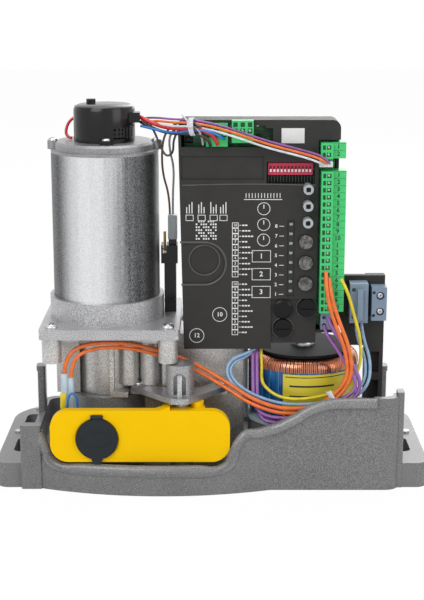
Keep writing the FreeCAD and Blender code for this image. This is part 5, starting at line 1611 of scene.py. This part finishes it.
    def lamps(self, recipes: Recipes) -> None:
        """Eight lenses in the groove."""
        recipes.rows.bake("case_lamps", {"Count": 8, "Start": metres((56.65, self.face + 0.9, 188.9)),
                                         "Pitch": metres((0, 0, -7)), "Block": metres((2.6, 1.2, 2.0))},
                          LAMP, Body.FRAME)

    def terminals(self, recipes: Recipes) -> None:
        """Slotted screws in the strips' wells, dark plates of painted shade at the wire mouths beside them,
        and the pale connector.

        Args:
            recipes: The shared trees.
        """
        wells, mouths, numbers = [], Form(), Form()
        strips = ((175.7, 10, 77.3, -47), (124.6, 10, 77.3, -46.5), (236.4, 2, 76.7, -47))
        for foot, poles, left, front in strips:
            for k in range(poles):
                z = foot + 0.6 + self.pole * (k + 0.5)
                wells.append((left + 5.5, front + 2.4, z))
                numbers.words(str(poles - k), 4.4, left + 12.6, front + 4.93, z)
                numbers.block((left + 8.8, front + 4.94, z + 2.4), (left + 17.6, front + 5.0, z + 2.6))
                # a dark plate at each wire mouth, painted shade for the hole
                mouths.block((left + 1.2, front - 0.05, z - 1.6), (left + 3.1, front + 0.02, z + 1.6))
        for x0, foot in ((-4.2, 244.8), (13.9, 247.4)):
            for k in range(3):
                x = x0 + self.pole * (k + 0.5)
                wells.append((x, -43.9, foot + 8.7))
                # a dark plate at each wire mouth, painted shade for the hole
                mouths.block((x - 1.5, -46.06, foot + 11.6), (x + 1.5, -45.98, foot + 14.8))
        forward = (math.pi / 2, 0.0, 0.0)
        recipes.heads("terminal_screws", 1.55, 0.8, Drive.SLOT, 11, wells, forward)
        mouths.piece("terminal_mouths", MOUTH_SHADE, Body.FRAME)
        numbers.piece("terminal_numbers", INK_DARK, Body.FRAME)
        plug = Form().block((75.6, -46.6, 230.7), (85.2, -38.4, 234.8), 0.4)
        plug.piece("pale_connector", WHITE, Body.FRAME)
        mains = [(122.5, -35.2, 135.2), (122.5, -35.2, 123.4)]
        recipes.heads("mains_screws", 2.5, 1.1, Drive.CROSS, 12, mains, forward)

    def line(self) -> None:
        """The raised line that sweeps across the case under the window, in a lighter grey that is a painted
        highlight.
        """
        steps = 24
        points = []
        for k in range(steps + 1):
            rise = 0.9 * math.sin(math.pi * k / steps)
            points.append(Vector((-21.2 + 95 * k / steps, self.face - 0.05, 217 + rise)))
        Form().pipe(points, 0.55, 8).piece("case_line", CASE_HIGHLIGHT, Body.FRAME, "case_plastic")

    def recess(self) -> None:
        """The collars round the recess and the fuse caps and the dish's edge, in a lighter grey that is a
        painted highlight, and the round blanking cap.
        """
        middle_x, middle_z, radius = -5.5, 160.2, 15.6
        steps = 20
        collar = [Vector((x, self.face, middle_z + radius)) for x in (-23, -14)]
        for k in range(steps + 1):
            turn = math.pi / 2 - math.pi * k / steps
            way = Vector((math.cos(turn), 0, math.sin(turn)))
            collar.append(Vector((middle_x, self.face, middle_z)) + way * radius)
        collar += [Vector((x, self.face, middle_z - radius)) for x in (-14, -22.2)]
        form = Form().pipe(collar, 0.8, 8)
        form.pipe(hoop((middle_x, self.face + 1.2, middle_z + 2.3), 11, 11, 48), 0.5, 8, 1.0, True)
        form.piece("case_collar", CASE_HIGHLIGHT, Body.FRAME, "case_plastic")
        profile = [(0.01, self.face - 0.55), (6.9, self.face - 0.55), (6.9, self.face - 1.2),
                   (6.3, self.face - 1.7), (3.4, self.face - 2.1), (0.01, self.face - 2.2)]
        Form().lathe(profile, (51.5, 0, 126.6), "Y", 48).piece("blanking_cap", CAP, Body.FRAME, "cap_black")
        collars = Form()
        for x, z in ((68.8, 127.1), (51.5, 112)):
            collars.pipe(hoop((x, self.face + 1.35, z), 7.5, 7.5, 40), 0.45, 8, 1.0, True)
        collars.piece("fuse_collars", CASE_HIGHLIGHT, Body.FRAME, "case_plastic")

    def knobs(self) -> None:
        """A dark disc in each trimmer's end, painted shade for its bore."""
        for k, (z, body) in enumerate(((215, Body.TRIMMER_1), (203, Body.TRIMMER_2), (191, Body.TRIMMER_3))):
            # a flat dark disc, painted shade where the bore is
            profile = [(0.01, -48.9), (1.7, -48.9), (1.7, -49.06), (0.01, -49.06)]
            Form().lathe(profile, (68.2, 0, z), "Y", 28).piece("trimmer_bore_shade_%d" % (k + 1), CAP, body)


@dataclass
class BaseTrim:
    """The full round bead on the pan's rim, fuller at the right and a little higher under the handle."""

    front_line: float = 74.7
    front_bow: float = 14.5
    bow_start: float = 125.0
    bow_end: float = 42.0
    bead: float = 3.6
    proud: float = 1.6
    swell: float = 0.45
    lift: float = 2.3
    tuck: float = 0.5
    rim: tuple[tuple[float, float], ...] = (
        (-125, 46), (-120.2, 34.4), (-117.1, 24.7), (-105.4, 20), (-80, 20), (-45, 20), (-12, 20),
        (1.3, 20), (12.5, 24.7), (17.2, 38), (18.7, 41), (24.2, 47), (34, 47.5), (46, 50.5),
        (59, 57), (71, 64.5), (84, 68.5), (100, 69), (117.4, 69))

    def build(self) -> None:
        """The bead as one swept piece.

        At the right it stands proud and swells, and under the handle it is lifted and tucked in.
        """
        sides = 20
        points, radii = [], []
        for x, z in self.smooth(8):
            right = self.ease((x - 26) / 14)
            low = self.ease((x + 118) / 26) * self.ease((14 - x) / 26)
            radii.append(self.bead - 0.08 + self.swell * right)
            deep = self.wall(x) + self.bead * 0.47 - self.proud * right + self.tuck * low
            points.append(Vector((x, deep, z - self.bead + self.lift * low)))
        form = Form()
        loops = []
        for k, (point, radius) in enumerate(zip(points, radii)):
            way = (points[min(k + 1, len(points) - 1)] - points[max(k - 1, 0)]).normalized()
            side = way.cross(Vector((0, 1, 0))).normalized()
            out = side.cross(way).normalized()
            loops.append([point + side * (radius * math.cos(math.tau * j / sides))
                          + out * (radius * math.sin(math.tau * j / sides)) for j in range(sides)])
        # the bead's lighter paint is a painted highlight
        form.rings(loops).piece("rim_bead", BEAD_HIGHLIGHT, Body.FRAME, "painted_casting", 60)

    def ease(self, share: float) -> float:
        """A smooth step from 0 to 1.

        Args:
            share: How far along the step it is.

        Returns:
            The eased share.
        """
        share = min(1.0, max(0.0, share))
        return share * share * (3 - 2 * share)

    def wall(self, x: float) -> float:
        """Where the front wall's outer face lies.

        Args:
            x: A place along the wall.

        Returns:
            Its depth there.
        """
        if x > self.bow_end:
            return -self.front_line
        first, last = Vector((-self.bow_start, 4 - self.front_line)), Vector((self.bow_end, -self.front_line))
        top = (first + last) / 2 + Vector((0, -self.front_bow))
        centre, radius = self.arc(first, top, last)
        return centre.y - math.sqrt(radius * radius - (x - centre.x) ** 2)

    def arc(self, first: Vector, top: Vector, last: Vector) -> tuple[Vector, float]:
        """The circle through three points in plan.

        Args:
            first: The first point.
            top: The second point.
            last: The third point.

        Returns:
            Its centre and radius.
        """
        a, b = top - first, last - first
        turn = 2 * (a.x * b.y - a.y * b.x)
        along = (b.y * a.length_squared - a.y * b.length_squared) / turn
        up = (a.x * b.length_squared - b.x * a.length_squared) / turn
        return first + Vector((along, up)), math.hypot(along, up)

    def smooth(self, steps: int) -> list[tuple[float, float]]:
        """The rim's line, rounded through its points.

        Args:
            steps: How many steps lie between two points.

        Returns:
            Places along the wall with their heights.
        """
        ends = [Vector(p) for p in (self.rim[0], *self.rim, self.rim[-1])]
        line = []
        for before, start, end, after in zip(ends, ends[1:], ends[2:], ends[3:]):
            for k in range(steps):
                t = k / steps
                spot = start * 2 + (end - before) * t + (before * 2 - start * 5 + end * 4 - after) * (t * t)
                spot = (spot + (start * 3 - before - end * 3 + after) * (t ** 3)) / 2
                line.append((spot.x, spot.y))
        return [*line, self.rim[-1]]


@dataclass
class ReleaseParts:
    """What the handle carries, and the switch's tag beside it."""

    lid_x: float = -82.0
    lid_z: float = 40.8
    lid_front: float = -82.2
    oval_across: float = 10.2
    oval_up: float = 5.6
    lip: float = 14.4

    def build(self) -> None:
        """The raised oval and lip of the lid, and the tag."""
        oval = hoop((self.lid_x, self.lid_front, self.lid_z), self.oval_across, self.oval_up, 48)
        edge = hoop((self.lid_x, self.lid_front + 0.1, self.lid_z), self.lip, self.lip, 64)
        form = Form().pipe(oval, 0.32, 8, 1.0, True)
        form.pipe(edge, 0.4, 8, 1.0, True)
        form.piece("lid_oval", RUBBER, Body.LOCK_LID, "cover_rubber")
        tag = Form().block((-109, -66.8, 58.8), (-104.6, -65.4, 70.6), 0.3)
        tag.piece("switch_tag", YELLOW_WIRE, Body.FRAME)


@dataclass
class MotorParts:
    """Small parts of the motor: the encoder cap's slits and the limit switch's plug."""

    x: float = -77.2
    y: float = -21.0
    cap: float = 22.05
    slits: int = 6
    first_slit: float = -62.0
    slit_pitch: float = 7.5
    slit_ends: tuple[float, float] = (250.4, 257.4)

    def build(self) -> None:
        """Slits round the cap's right front, and the plug."""
        slits = Form()
        for k in range(self.slits):
            turn = math.radians(self.first_slit + k * self.slit_pitch)
            way = Vector((math.cos(turn), math.sin(turn), 0))
            side = Vector((-way.y, way.x, 0)) * 0.75
            spot = Vector((self.x, self.y, 0)) + way * self.cap
            rows = []
            for height in self.slit_ends:
                up = Vector((0, 0, height))
                back, front = spot - way * 0.5 + up, spot + way * 0.06 + up
                rows.append([back - side, back + side, front + side, front - side])
            slits.rings(rows)
        slits.piece("encoder_slits", SEAL, Body.FRAME)
        plug = Form().block((-32.4, -14.4, 172.6), (-25.6, -5.6, 190.6), 0.5)
        plug.piece("limit_plug", KNOB, Body.FRAME)


@dataclass
class Studio:
    """The floor, the light and the camera."""

    focal: float = 84.0
    distance: float = 1026.7
    height: float = 371.7
    pitch: float = 13.6

    def build(self) -> None:
        """The whole studio."""
        self.floor()
        self.lamp("key", (-0.9, -1.5, 1.5), 1.3, 21.0)
        self.lamp("fill", (1.5, -1.2, 0.9), 1.2, 9.0)
        self.lamp("top", (0.1, 0.4, 1.8), 1.4, 16.0)
        self.lamp("rear", (0.5, 1.7, 0.9), 1.2, 8.0)
        self.world()
        self.camera()
        bpy.context.scene.view_settings.view_transform = "Standard"

    def lamp(self, name: str, spot: Point, size: float, power: float) -> None:
        """A soft lamp that looks at the object.

        Args:
            name: Its name.
            spot: Where it stands, in metres.
            size: Its side in metres.
            power: Its power in watts.
        """
        data = bpy.data.lights.new(name, "AREA")
        data.shape = "SQUARE"
        data.size = size
        data.energy = power
        obj = bpy.data.objects.new(name, data)
        bpy.context.scene.collection.objects.link(obj)
        obj.location = spot
        obj.rotation_euler = (Vector((0, 0, 0.12)) - Vector(spot)).to_track_quat("-Z", "Y").to_euler()

    def seen(self, graph: Graph) -> Value:
        """1 for rays of the camera, reflections and clear bodies, and 0 for the rest.

        Args:
            graph: The tree that it goes into.

        Returns:
            The 1 or 0.
        """
        rays = ("Is Camera Ray", "Is Glossy Ray", "Is Transmission Ray")
        kinds = [graph.node("ShaderNodeLightPath", out=which) for which in rays]
        return kinds[0].larger(kinds[1]).larger(kinds[2])

    def world(self) -> None:
        """A pale surround that is white where it is seen."""
        world = bpy.data.worlds.new("studio")
        bpy.context.scene.world = world
        world.use_nodes = True
        world.node_tree.nodes.clear()
        graph = Graph(world.node_tree)
        soft = graph.node("ShaderNodeBackground", {}, {"Color": (1, 1, 1, 1), "Strength": 0.32})
        white = graph.node("ShaderNodeBackground", {}, {"Color": (1, 1, 1, 1), "Strength": 1.0})
        mixed = graph.node("ShaderNodeMixShader", {}, {0: self.seen(graph), 1: soft, 2: white})
        end = world.node_tree.nodes.new("ShaderNodeOutputWorld")
        world.node_tree.links.new(mixed.socket, end.inputs["Surface"])

    def floor(self) -> None:
        """A wide pale floor that keeps a soft shadow."""
        data = bpy.data.meshes.new("floor")
        side, sunk = 4.0, -0.0004
        corners = [(x * side, y * side, sunk) for x, y in ((-1, -1), (1, -1), (1, 1), (-1, 1))]
        data.from_pydata(corners, [], [(0, 1, 2, 3)])
        obj = bpy.data.objects.new("floor", data)
        bpy.context.scene.collection.objects.link(obj)
        finish = bpy.data.materials.new("floor_white")
        finish.use_nodes = True
        finish.node_tree.nodes.clear()
        graph = Graph(finish.node_tree)
        plain = graph.node("ShaderNodeBsdfDiffuse", {}, {"Color": (0.9, 0.9, 0.9, 1)})
        white = graph.node("ShaderNodeEmission", {}, {"Color": (1, 1, 1, 1), "Strength": 1.0})
        mixed = graph.node("ShaderNodeMixShader", {}, {0: self.seen(graph) * 0.975, 1: plain, 2: white})
        end = finish.node_tree.nodes.new("ShaderNodeOutputMaterial")
        finish.node_tree.links.new(mixed.socket, end.inputs["Surface"])
        data.materials.append(finish)

    def camera(self) -> None:
        """The camera at the photograph's place."""
        data = bpy.data.cameras.new("camera")
        data.lens = self.focal
        data.sensor_width = 36.0
        data.clip_end = 50.0
        obj = bpy.data.objects.new("camera", data)
        bpy.context.scene.collection.objects.link(obj)
        obj.location = (0, -self.distance * MM, self.height * MM)
        obj.rotation_euler = (math.radians(90 - self.pitch), 0, 0)
        bpy.context.scene.camera = obj


def main() -> None:
    """Builds the studio and every sub-assembly in order."""
    Studio().build()
    Carried().dress()
    recipes = Recipes()
    Harness().build()
    Transformer().build(recipes)
    Fasteners().build(recipes)
    ControlBoard().build(recipes)
    BaseTrim().build()
    ReleaseParts().build()
    MotorParts().build()
    log.info("all pieces built")


if __name__ == "__main__":
    main()
